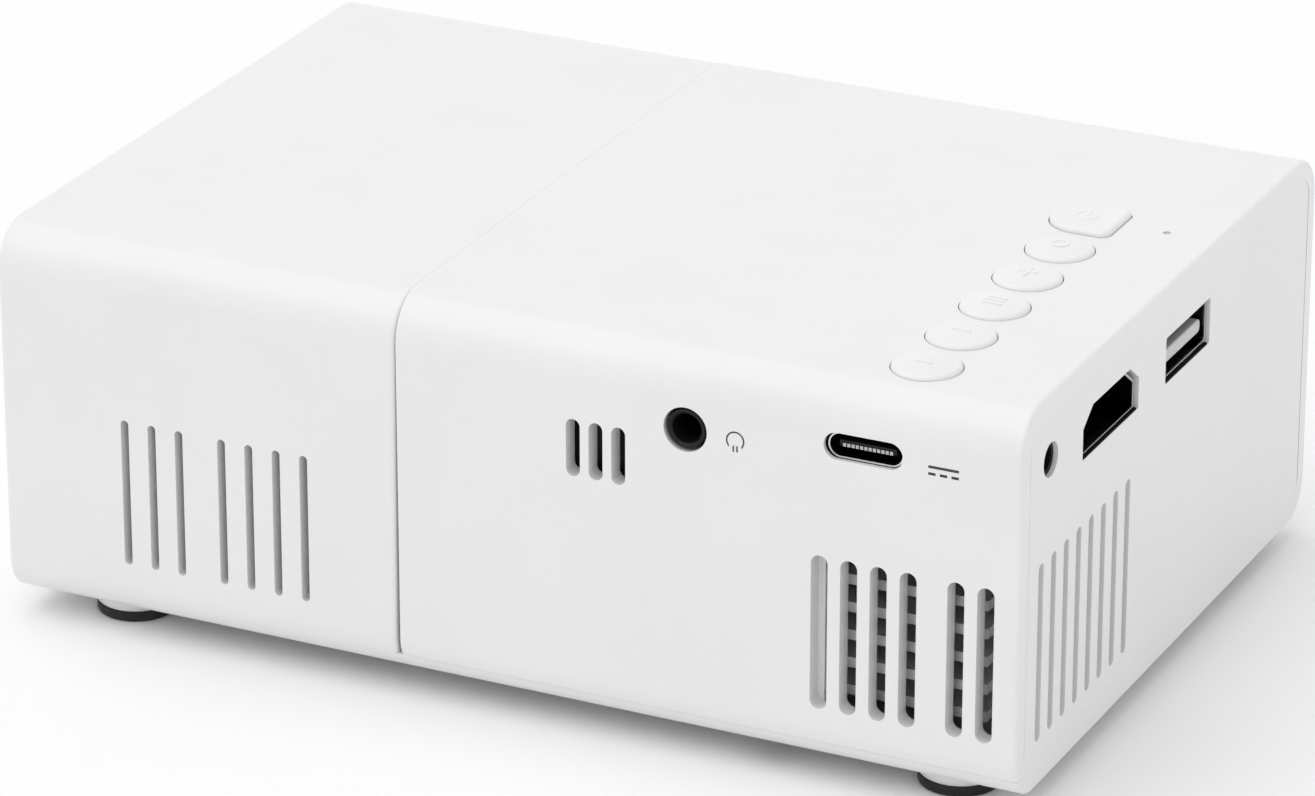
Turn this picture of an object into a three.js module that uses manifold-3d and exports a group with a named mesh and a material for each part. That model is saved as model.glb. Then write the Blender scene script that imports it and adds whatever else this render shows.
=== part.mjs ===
import * as THREE from "three";
import Module from "manifold-3d";
import { mergeVertices } from "three/addons/utils/BufferGeometryUtils.js";

// Pocket projector in millimetres: +X towards the sockets, -Y the rear, +Y the lens side, +Z up.
// The ground is z = 0, and the origin lies under the middle of the outer box.

// Casing
const bodyLength = 126;
const bodyDepth = 88;
const bodyHeight = 46;
const wall = 2.2;
const topEdgeRadius = 5.3;
const bottomEdgeRadius = 5;
const leastEdgeRadius = 0.6;
const partingHeight = 2.9;
const partingGap = 0.2;
const lensCoverLength = 50.6;
const seamWidth = 0.4;
const endWallGap = 0.3;
const overrun = 1;

// Feet and casing screws
const padThickness = 1.3;
const padRadius = 4.7;
const padEdge = 0.3;
const bossHeight = 1.3;
const bossFlare = 0.6;
const footFromLensEnd = 11.7;
const footFromPortEnd = 10.3;
const footInsetY = 9;
const postRadius = 2.6;
const postInsetX = 5.2;
const rearPostInset = 5.7;
const rearPostFromEnd = 30.8;
const portPostFromFront = 14.5;
const lensPostFromRear = 20;
const lensPostFromFront = 30;
const towerHeight = 6;
const towerRadius = 3.3;
const screwRadius = 1;
const screwPlay = 0.15;
const screwGrip = 5;
const screwHeadRadius = 1.9;
const screwHeadHeight = 1.4;
const screwRecess = 1.6;
const driveRadius = 0.75;
const driveDepth = 0.6;

// Vents, heights above the underside and places from the nearer end
const leftVentWidth = 1;
const leftVentLow = 7.2;
const leftVentHeight = 17.9;
const rightVentWidth = 2;
const rightVentLow = 7.1;
const ventRibShow = 0.8;
const ventRibWidth = 2;
const ventRibDepth = 0.9;
const ventRibRoot = 0.4;
const rightVentHeight = 18.4;
const rearVentPitch = 3.5;
const leftVentFromEnd = 16;
const leftVentGroupStep = 12.5;
const leftVentCounts = [3, 4];
const rightVentFromEnd = 23.5;
const rightVentGroupStep = 16.1;
const rightVentCounts = [4, 2];
const soundSlotFromEnd = 53.2;
const soundSlotWidth = 1.7;
const soundSlotDrop = 10;
const soundSlotHeight = 6.8;
const soundSlotPitch = 2.76;
const soundSlotCount = 3;
const endVentWidth = 1.4;
const endVentLow = 5.53;
const endVentHeight = 21.2;
const endVentFromRear = 5.95;
const endVentPitch = 3.54;
const endVentCount = 8;

// Buttons, in one row along the socket end
const buttonRowFromEnd = 14.87;
const buttonFromRear = 8.51;
const buttonRadius = 3.95;
const buttonSpace = 1.4;
const buttonPlay = 0.15;
const buttonProud = 0.9;
const buttonEdge = 0.5;
const buttonNames = ["button_source", "button_minus", "button_menu", "button_plus", "button_ok"];
const powerSide = 8.37;
const powerCorner = 1.3;
const powerRightPlay = 0.47;
const flangeWidth = 0.42;
const flangeThickness = 0.6;
const flangePlay = 0.1;
const buttonTravel = 0.4;
const travelPlay = 0.05;
const stemRadius = 1.2;
const domeRadius = 2;
const domeHeight = 0.5;
const stripThickness = 0.2;
const stripWidth = 5.4;

// Status light
const lightFromEnd = 6;
const lightFromPower = 0.55;
const lightHoleRadius = 0.45;
const pipeRadius = 0.33;
const pipeSunk = 0.2;
const pipeGap = 0.3;
const statusLength = 1.6;
const statusWidth = 0.8;
const statusHeight = 0.6;

// Main board, hung under the top
const boardThickness = 1;
const boardDrop = 2.4;
const boardFrameGap = 4.2;
const boardEdgeGap = 0.4;
const boardDepth = 59.4;
const boardNotchPlay = 0.5;
const boardPostRadius = 2.5;
const boardPostFromLeft = 5;
const boardPostFromRight = 20.4;
const boardPostFromRear = 54.4;
const boardPostStep = 1;
const boardScrewHeadHeight = 1.1;
const boardScrewGrip = 3;

// Sockets, hung under the board and placed from the nearer end or the rear
const portWall = 0.3;
const portSunk = 0.4;
const chargeSunk = 0.6;
const portDepth = 10.8;
const tongueInset = 1.4;
const tabWidth = 1.2;
const videoFromRear = 25.05;
const videoHang = 0.55;
const videoHoleWidth = 16.1;
const videoHoleHeight = 5.7;
const videoCutWidth = 2.7;
const videoCutHeight = 2;
const videoPlay = 0.5;
const videoTongueWidth = 11.4;
const videoTongueThickness = 1.5;
const dataFromRear = 47.85;
const dataHang = 0.95;
const dataHoleWidth = 13.4;
const dataHoleHeight = 5.6;
const dataPlay = 0.25;
const dataTongueWidth = 10.8;
const dataTongueThickness = 1.6;
const dataTongueLift = -0.2;
const dataTongueInset = 0.3;
const chargeFromEnd = 18.4;
const chargeHang = 0.15;
const chargeHoleWidth = 9.1;
const chargeHoleHeight = 3.2;
const chargePlay = 0.1;
const chargeDepth = 7.4;
const chargeTongueInset = 0.6;
const chargeTongueWidth = 6.7;
const chargeTongueThickness = 0.7;
const headphoneFromEnd = 39.6;
const headphoneDrop = 3.1;
const headphoneHoleRadius = 2.6;
const headphoneWidth = 6;
const noseRadius = 2.3;
const noseSunk = 0.2;
const avFromRear = 7.9;
const avDrop = 2.2;
const avHoleRadius = 2;
const avWidth = 5;
const avBoreRadius = 1.45;
const avNosePlay = 0.1;
const avNoseSunk = 0.42;
const jackBoreRadius = 1.75;
const jackDepth = 11;
const jackBoreDepth = 9;
const jackGap = 0.3;

// Parts on the board's underside, placed from its left and rear edges
const chipSide = 14;
const chipThickness = 1.6;
const chipInset = [16, 27.4];
const canRadius = 3.15;
const canHeight = 7.7;
const canInset = [24, 46.4];
const coilSide = 7;
const coilHeight = 4.5;
const coilInset = [13, 48.4];

// Light path
const lensFromEnd = 25;
const screenDistance = 35.8;
const ledBoardSide = 17;
const ledBoardThickness = 1.5;
const emitterSide = 8;
const emitterHeight = 0.9;
const emitterDomeRadius = 3.4;
const emitterDomeHeight = 1.2;
const emitterShoulderShare = 0.8;
const sinkEndGap = 2.8;
const sinkBase = 2.5;
const finThickness = 1.2;
const finPitch = 3.32;
const finTopRoom = 10.5;
const firstFinZ = 5.1;
const finReach = 19.5;
const sinkRearGap = 1.3;
const sinkLength = 34.1;
const boxSkin = 1.5;
const boxSmallWidth = 20;
const boxTaper = 12;
const boxLedGap = 0.6;
const lcdWidth = 42;
const lcdLift = 0.5;
const lcdTopRoom = 1.5;
const lcdThickness = 2;
const lcdBezel = 0.5;
const fresnelThickness = 1.5;
const plateSpace = 1.6;
const frameRim = 1.8;
const frameGap = 0.2;
const plateGap = 0.3;
const condenserThickness = 6;
const condenserRimShare = 0.25;
const condenserGap = 0.6;
const ribbonThickness = 0.3;
const ribbonWidth = 18;
const ribbonRun = 17.9;
const ribbonPlay = 0.5;
const mirrorLength = 42;
const mirrorThickness = 1.8;
const holderThickness = 2;
const holderLip = 1.2;
const holderGap = 0.3;
const holderTopDrop = 6;

// Lens, measured along its axis
const ringFloorRoom = 3.1;
const ringSkin = 2.6;
const ringRidge = 0.35;
const ringRidgeCount = 24;
const ringProud = 3;
const ringLength = 12;
const ringHolePlay = 0.4;
const ringCollarWidth = 1;
const ringCollarThickness = 1.8;
const ringCollarPlay = 0.4;
const ringMouthFlare = 0.8;
const bezelWidth = 0.9;
const bezelDepth = 0.5;
const barrelSkin = 1.3;
const barrelPlay = 0.4;
const barrelLength = 26;
const barrelSunk = 3.2;
const mountSkin = 1.7;
const mountTubeLength = 20;
const mountPlateThickness = 2;
const mountPlateMargin = 2;
const mountPlateRise = 0.7;
const ringMountGap = 0.5;
const focusTravel = 2;
const frontGlassThickness = 4.5;
const rearGlassThickness = 4;
const glassGap = 0.2;
const glassSetback = 1.5;
const glassEdgeShare = 0.3;

// Fan
const fanTopRoom = 8.2;
const fanDepth = 8;
const fanEndGap = 0.4;
const fanSinkGap = 0.8;
const fanBoxGap = 0.3;
const fanRim = 0.8;
const fanHoleInset = 2.7;
const fanHoleRadius = 1.3;
const fanHubRadius = 6.5;
const fanHubGap = 0.5;
const fanPlate = 1.2;
const fanSpokeWidth = 1.4;
const fanSpokeCount = 3;
const bladeCount = 7;
const bladeTipGap = 0.8;
const bladeThickness = 0.8;
const bladeChord = 6.4;
const bladePitchDegrees = 38;
const shaftRadius = 1;
const shaftPlay = 0.1;
const bearingRadius = 2.4;
const bearingLength = 3.2;
const shaftLength = 2.8;

// Speaker
const speakerRadius = 7;
const basketSkin = 0.6;
const basketDepth = 2.6;
const basketBack = 0.5;
const speakerWallGap = 0.3;
const coneGap = 0.3;
const coneThickness = 0.4;
const coneFall = 0.8;
const coneTravel = 0.3;
const coneClear = 0.1;
const magnetRadius = 3.6;
const magnetThickness = 1.2;

// Tripod nut and inner leads
const nutFrameGap = 0.9;
const nutRadius = 4.75;
const nutBoreRadius = 3.2;
const nutHeight = 6.6;
const nutPlay = 0.15;
const nutBossSkin = 1.6;
const leadRadius = 0.8;
const leadGap = 0.3;
const leadBend = 3;

// Places worked out from the sizes
const footHeight = padThickness + bossHeight;
const underside = footHeight;
const topFace = underside + bodyHeight;
const floorTop = underside + wall;
const topInner = topFace - wall;
const rearFace = -bodyDepth / 2;
const frontFace = bodyDepth / 2;
const rearInner = rearFace + wall;
const frontInner = frontFace - wall;
const lensEnd = -bodyLength / 2;
const portEnd = bodyLength / 2;
const lensEndInner = lensEnd + wall;
const portEndInner = portEnd - wall;
const partingZ = underside + partingHeight;
const seamX = lensEnd + lensCoverLength;
const boardTop = topInner - boardDrop;
const boardLow = boardTop - boardThickness;
const lcdHeight = boardLow - lcdTopRoom - floorTop - lcdLift - 2 * (frameRim + plateGap);
const lensX = lensEnd + lensFromEnd;
const axisY = rearInner + frameGap + frameRim + plateGap + lcdWidth / 2;
const axisHeight = floorTop + lcdLift + frameRim + plateGap + lcdHeight / 2;
const frameRight = lensX + screenDistance;
const sinkX = portEndInner - sinkEndGap - finReach - sinkBase;
const sinkRear = rearInner + sinkRearGap;
const sinkFront = sinkRear + sinkLength;
const ringRadius = axisHeight - floorTop - ringFloorRoom;
const barrelRadius = ringRadius - ringSkin;
const boardLeft = frameRight + boardFrameGap;
const boardRight = portEndInner - boardEdgeGap;
const boardRear = rearInner + boardEdgeGap;
const boardFront = boardRear + boardDepth;
const onBoard = ([x, y]) => [boardLeft + x, boardRear + y];
const boardPostPlaces = [
  [boardLeft + boardPostFromLeft, boardRear + boardPostFromRear],
  [boardRight - boardPostFromRight, boardRear + boardPostFromRear + boardPostStep],
];
const videoY = rearFace + videoFromRear;
const videoZ = boardLow - videoHang - (videoHoleHeight - videoPlay) / 2;
const dataY = rearFace + dataFromRear;
const dataZ = boardLow - dataHang - dataHoleHeight / 2 + dataPlay;
const chargeX = portEnd - chargeFromEnd;
const chargeZ = boardLow - chargeHang - chargeHoleHeight / 2 + chargePlay;
const headphoneX = portEnd - headphoneFromEnd;
const headphoneZ = boardLow - headphoneDrop;
const avY = rearFace + avFromRear;
const avZ = boardLow - avDrop;
const soundSlotLow = topFace - soundSlotDrop - soundSlotHeight;
const boxSmallHeight = lcdHeight - boxTaper;
const finCount = Math.floor((boardLow - underside - firstFinZ - finTopRoom) / finPitch) + 1;
const tripodX = 0;
const frameFront = axisY + lcdWidth / 2 + plateGap + frameRim;
const tripodY = frameFront + nutFrameGap + nutBossSkin + nutPlay + nutRadius;
const towerTop = floorTop + towerHeight;
const footPlaces = [
  { name: "foot_rear_left", x: lensEnd + footFromLensEnd, y: rearFace + footInsetY },
  { name: "foot_rear_right", x: portEnd - footFromPortEnd, y: rearFace + footInsetY },
  { name: "foot_front_left", x: lensEnd + footFromLensEnd, y: frontFace - footInsetY },
  { name: "foot_front_right", x: portEnd - footFromPortEnd, y: frontFace - footInsetY },
];
const screwPlaces = [
  { name: "screw_rear_left", x: lensEnd + postInsetX, y: rearFace + lensPostFromRear },
  { name: "screw_front_left", x: lensEnd + postInsetX, y: frontFace - lensPostFromFront },
  { name: "screw_rear_right", x: portEnd - rearPostFromEnd, y: rearFace + rearPostInset },
  { name: "screw_front_right", x: portEnd - postInsetX, y: frontFace - portPostFromFront },
];
const rearPostX = portEnd - rearPostFromEnd;
const buttonRowX = portEnd - buttonRowFromEnd;
const buttonFirstY = rearFace + buttonFromRear;
const lightX = portEnd - lightFromEnd;
const buttonPitch = 2 * buttonRadius + buttonSpace;
const buttonPlaces = buttonNames.map((name, i) => ({
  name,
  x: buttonRowX,
  y: buttonFirstY + i * buttonPitch,
}));
const powerRight = buttonRowX + buttonRadius - powerRightPlay;
const powerX = powerRight - powerSide / 2;
const powerY = buttonFirstY + buttonNames.length * buttonPitch + (powerSide / 2 - buttonRadius);
const lightY = powerY + lightFromPower;
const flangeTop = topInner - flangePlay;
const flangeLow = flangeTop - flangeThickness;
const domeTop = boardTop + stripThickness + domeHeight;
const stemLow = domeTop + buttonTravel + travelPlay;
const smallSteps = 10;
const roundSteps = 24;
const arcSteps = 5;
const slotSteps = 3;

// Solids, cuts and joins
const wasm = await Module();
wasm.setup();

function toSolid(geometry) {
  const bare = geometry.clone();
  bare.deleteAttribute("normal");
  bare.deleteAttribute("uv");
  const merged = mergeVertices(bare);
  const index = merged.index.array;
  const kept = [];
  for (let i = 0; i < index.length; i += 3) {
    const [a, b, c] = [index[i], index[i + 1], index[i + 2]];
    if (a !== b && b !== c && c !== a) kept.push(a, b, c);
  }
  return new wasm.Manifold(new wasm.Mesh({
    numProp: 3,
    vertProperties: new Float32Array(merged.attributes.position.array),
    triVerts: new Uint32Array(kept),
  }));
}

function toGeometry(solid) {
  const { vertProperties, triVerts } = solid.getMesh();
  const geometry = new THREE.BufferGeometry();
  geometry.setAttribute("position", new THREE.BufferAttribute(vertProperties, 3));
  geometry.setIndex(new THREE.BufferAttribute(triVerts, 1));
  geometry.computeVertexNormals();
  return geometry;
}

const join = (...solids) => solids.flat().reduce((sum, solid) => sum.add(solid));
const cut = (solid, ...tools) => tools.flat().reduce((rest, tool) => rest.subtract(tool), solid);

// Outlines
function roundedOutline(left, right, low, high, lowRadius, highRadius) {
  const outline = new THREE.Shape();
  outline.moveTo(left + lowRadius, low);
  outline.lineTo(right - lowRadius, low);
  outline.absarc(right - lowRadius, low + lowRadius, lowRadius, -Math.PI / 2, 0);
  outline.lineTo(right, high - highRadius);
  outline.absarc(right - highRadius, high - highRadius, highRadius, 0, Math.PI / 2);
  outline.lineTo(left + highRadius, high);
  outline.absarc(left + highRadius, high - highRadius, highRadius, Math.PI / 2, Math.PI);
  outline.lineTo(left, low + lowRadius);
  outline.absarc(left + lowRadius, low + lowRadius, lowRadius, Math.PI, 1.5 * Math.PI);
  return outline;
}

function rectangleOutline(left, right, low, high) {
  const outline = new THREE.Shape();
  outline.moveTo(left, low);
  outline.lineTo(right, low);
  outline.lineTo(right, high);
  outline.lineTo(left, high);
  outline.closePath();
  return outline;
}

function circleOutline(x, y, radius, steps = roundSteps) {
  const outline = new THREE.Shape();
  for (let i = 0; i < steps; i += 1) {
    const angle = (2 * Math.PI * i) / steps;
    const [u, v] = [x + radius * Math.cos(angle), y + radius * Math.sin(angle)];
    if (i === 0) outline.moveTo(u, v);
    else outline.lineTo(u, v);
  }
  outline.closePath();
  return outline;
}

function slotOutline(x, low, width, height) {
  return roundedOutline(x - width / 2, x + width / 2, low, low + height, width / 2, width / 2);
}

function videoOutline(width, height, cutWidth, cutHeight) {
  const low = videoZ - height / 2;
  const high = low + height;
  const [left, right] = [videoY - width / 2, videoY + width / 2];
  const outline = new THREE.Shape();
  outline.moveTo(left, low);
  outline.lineTo(right, low);
  outline.lineTo(right, high - cutHeight);
  outline.lineTo(right - cutWidth, high);
  outline.lineTo(left + cutWidth, high);
  outline.lineTo(left, high - cutHeight);
  outline.closePath();
  return outline;
}

function powerOutline(grow) {
  const half = powerSide / 2 + grow;
  const corner = powerCorner + grow;
  const right = powerX + half;
  const outline = new THREE.Shape();
  outline.moveTo(powerX, powerY - half);
  outline.lineTo(right - corner, powerY - half);
  outline.absarc(right - corner, powerY - half + corner, corner, -Math.PI / 2, 0);
  outline.lineTo(right, powerY + half - corner);
  outline.absarc(right - corner, powerY + half - corner, corner, 0, Math.PI / 2);
  outline.lineTo(powerX, powerY + half);
  outline.absarc(powerX, powerY, half, Math.PI / 2, 1.5 * Math.PI);
  return outline;
}

// Prisms and turned solids. Outlines hold y and z for a prism along x, and x and z for one along y
const unitX = new THREE.Vector3(1, 0, 0);
const unitY = new THREE.Vector3(0, 1, 0);
const unitZ = new THREE.Vector3(0, 0, 1);
const alongX = new THREE.Matrix4().makeBasis(unitY, unitZ, unitX);
const alongY = new THREE.Matrix4().makeBasis(unitX, unitZ, unitY.clone().negate());

function prism(outline, axis, from, to, steps = arcSteps) {
  const depth = to - from;
  const geometry = new THREE.ExtrudeGeometry(outline, { depth, bevelEnabled: false, curveSegments: steps });
  if (axis === "x") geometry.applyMatrix4(alongX).translate(from, 0, 0);
  if (axis === "y") geometry.applyMatrix4(alongY).translate(0, to, 0);
  if (axis === "z") geometry.translate(0, 0, from);
  return toSolid(geometry);
}

function block(fromX, toX, fromY, toY, fromZ, toZ) {
  return prism(rectangleOutline(fromX, toX, fromY, toY), "z", fromZ, toZ);
}

function rod(axis, u, v, radius, from, to, steps = roundSteps) {
  return prism(circleOutline(u, v, radius, steps), axis, from, to);
}

// A turned solid about z: its profile lists radius and height, from the low end up
function turned(profile, steps = roundSteps) {
  const points = profile.map(([radius, height]) => new THREE.Vector2(radius, height));
  const geometry = new THREE.LatheGeometry(points, steps).rotateX(Math.PI / 2);
  return toSolid(geometry);
}

function edgeArc(radius, height, edge, steps) {
  const points = [];
  for (let i = 0; i <= steps; i += 1) {
    const angle = (Math.PI / 2) * (i / steps);
    points.push([radius - edge + edge * Math.cos(angle), height - edge + edge * Math.sin(angle)]);
  }
  return points;
}

// Casing
function bodySection(inset) {
  const lowRadius = Math.max(bottomEdgeRadius - inset, leastEdgeRadius);
  const highRadius = Math.max(topEdgeRadius - inset, leastEdgeRadius);
  return roundedOutline(rearFace + inset, frontFace - inset, underside + inset, topFace - inset, lowRadius,
    highRadius);
}

function rearHole(outline) {
  return prism(outline, "y", rearFace - overrun, rearInner + overrun, slotSteps);
}

function ventCuts(first, groupStep, counts, width, low, height) {
  return counts.flatMap((count, group) => Array.from({ length: count }, (_, i) =>
    rearHole(slotOutline(first + group * groupStep + i * rearVentPitch, underside + low, width, height))));
}

function coverShell(from, to) {
  const outer = prism(bodySection(0), "x", from, to);
  const inner = prism(bodySection(wall), "x", from - overrun, to + overrun);
  const below = block(from - overrun, to + overrun, rearFace - overrun, frontFace + overrun, 0, partingZ);
  return cut(outer, inner, below);
}

function coverPost({ x, y }) {
  const pilot = screwRadius + screwPlay;
  return cut(
    rod("z", x, y, postRadius, towerTop, topInner + wall / 2, roundSteps / 2),
    rod("z", x, y, pilot, towerTop - overrun, towerTop + screwGrip + overrun, smallSteps),
  );
}

// A shallow rib behind the first slot of the right vents, rooted in the wall beside it
function ventRib() {
  const slotLeft = portEnd - rightVentFromEnd - rightVentWidth / 2;
  const right = slotLeft + ventRibShow;
  const [low, high] = [underside + rightVentLow, underside + rightVentLow + rightVentHeight];
  const front = rearInner + ventRibDepth;
  return join(
    block(right - ventRibWidth, right, rearInner, front, low, high),
    block(right - ventRibWidth, slotLeft - ventRibRoot, rearInner - ventRibRoot, front, low, high),
  );
}

function soundSlotPlaces() {
  return Array.from({ length: soundSlotCount }, (_, i) => portEnd - soundSlotFromEnd + i * soundSlotPitch);
}

function mainCover() {
  const shell = coverShell(seamX + seamWidth / 2, portEnd);
  const posts = screwPlaces.filter(({ x }) => x > seamX).map(coverPost);
  const boardPosts = boardPostPlaces.map(([x, y]) =>
    rod("z", x, y, boardPostRadius, boardTop, topInner + wall / 2, roundSteps / 2));
  const pilots = boardPostPlaces.map(([x, y]) =>
    rod("z", x, y, screwRadius + screwPlay, boardTop - overrun, boardTop + boardScrewGrip, smallSteps));
  const buttonHoles = buttonPlaces.map(({ x, y }) =>
    rod("z", x, y, buttonRadius + buttonPlay, topInner - overrun, topFace + overrun));
  const open = cut(
    join(shell, posts, boardPosts),
    pilots,
    ventCuts(portEnd - rightVentFromEnd, rightVentGroupStep, rightVentCounts, rightVentWidth, rightVentLow,
      rightVentHeight),
    soundSlotPlaces().map((x) => rearHole(slotOutline(x, soundSlotLow, soundSlotWidth, soundSlotHeight))),
    rearHole(circleOutline(headphoneX, headphoneZ, headphoneHoleRadius)),
    rearHole(chargeOutline(0)),
    buttonHoles,
    prism(powerOutline(buttonPlay), "z", topInner - overrun, topFace + overrun),
    rod("z", lightX, lightY, lightHoleRadius, topInner - overrun, topFace + overrun, smallSteps),
  );
  return join(open, ventRib());
}

function lensCover() {
  const shell = coverShell(lensEnd, seamX - seamWidth / 2);
  const posts = screwPlaces.filter(({ x }) => x < seamX).map(coverPost);
  const opening = ringRadius + ringHolePlay;
  return cut(
    join(shell, posts),
    ventCuts(lensEnd + leftVentFromEnd, leftVentGroupStep, leftVentCounts, leftVentWidth, leftVentLow,
      leftVentHeight),
    rod("y", lensX, axisHeight, opening, frontInner - overrun, frontFace + overrun, 2 * roundSteps),
    rod("y", lensX, axisHeight, opening + bezelWidth, frontFace - bezelDepth, frontFace + overrun,
      2 * roundSteps),
  );
}

function footBoss({ x, y }) {
  const top = floorTop - wall / 2;
  const profile = [[0, padThickness], [padRadius, padThickness], [padRadius + bossFlare, underside],
    [padRadius + bossFlare, top], [0, top]];
  return turned(profile, roundSteps).translate([x, y, 0]);
}

function screwTower({ x, y }) {
  const tower = rod("z", x, y, towerRadius, underside + wall / 2, towerTop, roundSteps / 2);
  return tower.intersect(prism(bodySection(wall + endWallGap), "x", lensEnd, portEnd).add(
    block(lensEnd, portEnd, rearFace, frontFace, underside, partingZ - partingGap)));
}

function screwWay({ x, y }) {
  const seat = underside + screwHeadHeight + screwRecess;
  return join(
    rod("z", x, y, screwHeadRadius + screwPlay, underside - overrun, seat, roundSteps / 2),
    rod("z", x, y, screwRadius + screwPlay, underside, towerTop + overrun, smallSteps),
  );
}

function portCuts() {
  const [from, to] = [portEndInner - overrun, portEnd + overrun];
  const vents = Array.from({ length: endVentCount }, (_, i) => prism(
    slotOutline(rearFace + endVentFromRear + i * endVentPitch, underside + endVentLow, endVentWidth,
      endVentHeight), "x", from, to, slotSteps));
  return [
    ...vents,
    rod("x", avY, avZ, avHoleRadius, from, to),
    prism(videoOutline(videoHoleWidth, videoHoleHeight, videoCutWidth, videoCutHeight), "x", from, to),
    prism(dataOutline(0), "x", from, to),
  ];
}

function bottomShell() {
  const edge = partingZ - partingGap;
  const whole = prism(bodySection(0), "x", lensEnd, portEnd);
  const above = block(lensEnd - overrun, portEnd + overrun, rearFace - overrun, frontFace + overrun, edge,
    topFace + overrun);
  const hollow = prism(bodySection(wall), "x", lensEndInner, portEndInner);
  const tray = cut(whole, above, hollow);
  const endWalls = [[lensEnd, lensEndInner], [portEndInner, portEnd]].map(([from, to]) =>
    prism(bodySection(wall + endWallGap), "x", from, to));
  const nutBoss = rod("z", tripodX, tripodY, nutRadius + nutPlay + nutBossSkin, underside + wall / 2,
    underside + nutHeight + wall / 2);
  const nutHole = rod("z", tripodX, tripodY, nutRadius + nutPlay, underside - overrun,
    underside + nutHeight + nutPlay);
  return cut(
    join(tray, endWalls, nutBoss, footPlaces.map(footBoss), screwPlaces.map(screwTower)),
    screwPlaces.map(screwWay),
    nutHole,
    portCuts(),
  );
}

function footPad({ x, y }) {
  const profile = [[0, 0], [padRadius - padEdge, 0], [padRadius, padEdge], [padRadius, padThickness],
    [0, padThickness]];
  return turned(profile, roundSteps).translate([x, y, 0]);
}

function screw(headHeight, length) {
  const profile = [[0, driveDepth], [driveRadius, driveDepth], [driveRadius, 0],
    [screwHeadRadius - padEdge, 0], [screwHeadRadius, padEdge], [screwHeadRadius, headHeight],
    [screwRadius, headHeight], [screwRadius, headHeight + length], [0, headHeight + length]];
  return turned(profile, smallSteps);
}

function tripodNut() {
  return cut(
    rod("z", tripodX, tripodY, nutRadius, underside, underside + nutHeight, roundSteps / 2),
    rod("z", tripodX, tripodY, nutBoreRadius, underside - overrun, underside + nutHeight + overrun,
      roundSteps / 2),
  );
}

// Buttons and the parts under them
function roundButton({ x, y }) {
  const top = topFace + buttonProud;
  const profile = [[0, stemLow], [stemRadius, stemLow], [stemRadius, flangeLow],
    [buttonRadius + flangeWidth, flangeLow], [buttonRadius + flangeWidth, flangeTop],
    [buttonRadius, flangeTop], ...edgeArc(buttonRadius, top, buttonEdge, 2), [0, top]];
  const reach = buttonRadius + flangeWidth + overrun;
  const room = join(
    prism(bodySection(wall + flangePlay), "x", x - reach, x + reach),
    rod("z", x, y, buttonRadius, flangeLow, top + overrun),
  );
  return turned(profile, roundSteps).translate([x, y, 0]).intersect(room);
}

function powerButton() {
  const from = flangeLow + flangeThickness / 2;
  const depth = topFace + buttonProud - from - buttonEdge;
  const cap = new THREE.ExtrudeGeometry(powerOutline(-buttonEdge), {
    depth,
    curveSegments: arcSteps,
    bevelEnabled: true,
    bevelThickness: buttonEdge,
    bevelSize: buttonEdge,
    bevelSegments: 2,
  });
  cap.translate(0, 0, from);
  return join(
    cut(toSolid(cap), block(powerX - powerSide, powerX + powerSide, powerY - powerSide, powerY + powerSide, 0,
      from)),
    prism(powerOutline(flangeWidth), "z", flangeLow, flangeTop),
    rod("z", powerX, powerY, stemRadius, stemLow, flangeLow + flangeThickness / 2, smallSteps),
  );
}

function switchStrip() {
  const [low, high] = [buttonFirstY - domeRadius, powerY + domeRadius];
  const strip = block(buttonRowX - stripWidth / 2, buttonRowX + stripWidth / 2, low, high, boardTop,
    boardTop + stripThickness);
  const places = [...buttonPlaces, { x: powerX, y: powerY }];
  const domes = places.map(({ x, y }) => {
    const base = boardTop + stripThickness / 2;
    const profile = [[0, base], [domeRadius, base], [domeRadius, boardTop + stripThickness],
      [domeRadius / 2, domeTop - stripThickness], [stripThickness, domeTop], [0, domeTop]];
    return turned(profile, smallSteps).translate([x, y, 0]);
  });
  return join(strip, domes);
}

function lightPipe() {
  const low = boardTop + statusHeight + pipeGap;
  return rod("z", lightX, lightY, pipeRadius, low, topFace - pipeSunk, smallSteps);
}

function statusLed() {
  return block(lightX - statusLength / 2, lightX + statusLength / 2, lightY - statusWidth / 2,
    lightY + statusWidth / 2, boardTop, boardTop + statusHeight);
}

// Main board and its sockets
function mainBoard() {
  const plate = block(boardLeft, boardRight, boardRear, boardFront, boardLow, boardTop);
  const notch = rod("z", rearPostX, rearFace + rearPostInset, postRadius + boardNotchPlay, boardLow - overrun,
    boardTop + overrun, roundSteps / 2);
  const slit = block(rearPostX - postRadius - boardNotchPlay, rearPostX + postRadius + boardNotchPlay,
    rearFace, rearFace + rearPostInset, boardLow - overrun, boardTop + overrun);
  const holes = boardPostPlaces.map(([x, y]) =>
    rod("z", x, y, screwRadius + screwPlay, boardLow - overrun, boardTop + overrun, smallSteps));
  return cut(plate, notch, slit, holes);
}

function dataOutline(inset) {
  return rectangleOutline(dataY - dataHoleWidth / 2 + inset, dataY + dataHoleWidth / 2 - inset,
    dataZ - dataHoleHeight / 2 + inset, dataZ + dataHoleHeight / 2 - inset);
}

function chargeOutline(inset) {
  const height = chargeHoleHeight - 2 * inset;
  const halfWidth = chargeHoleWidth / 2 - inset;
  return roundedOutline(chargeX - halfWidth, chargeX + halfWidth, chargeZ - height / 2, chargeZ + height / 2,
    height / 2, height / 2);
}

// Two tabs that carry a socket's shell at the board, at the shell's back corners
function boardTabs(y, width, shellTop, back) {
  return [-1, 1].map((side) => {
    const edge = y + side * (width / 2 - portWall);
    const [from, to] = [Math.min(edge, edge - side * tabWidth), Math.max(edge, edge - side * tabWidth)];
    return block(back, back + tabWidth, from, to, shellTop - portWall / 2, boardLow);
  });
}

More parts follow.
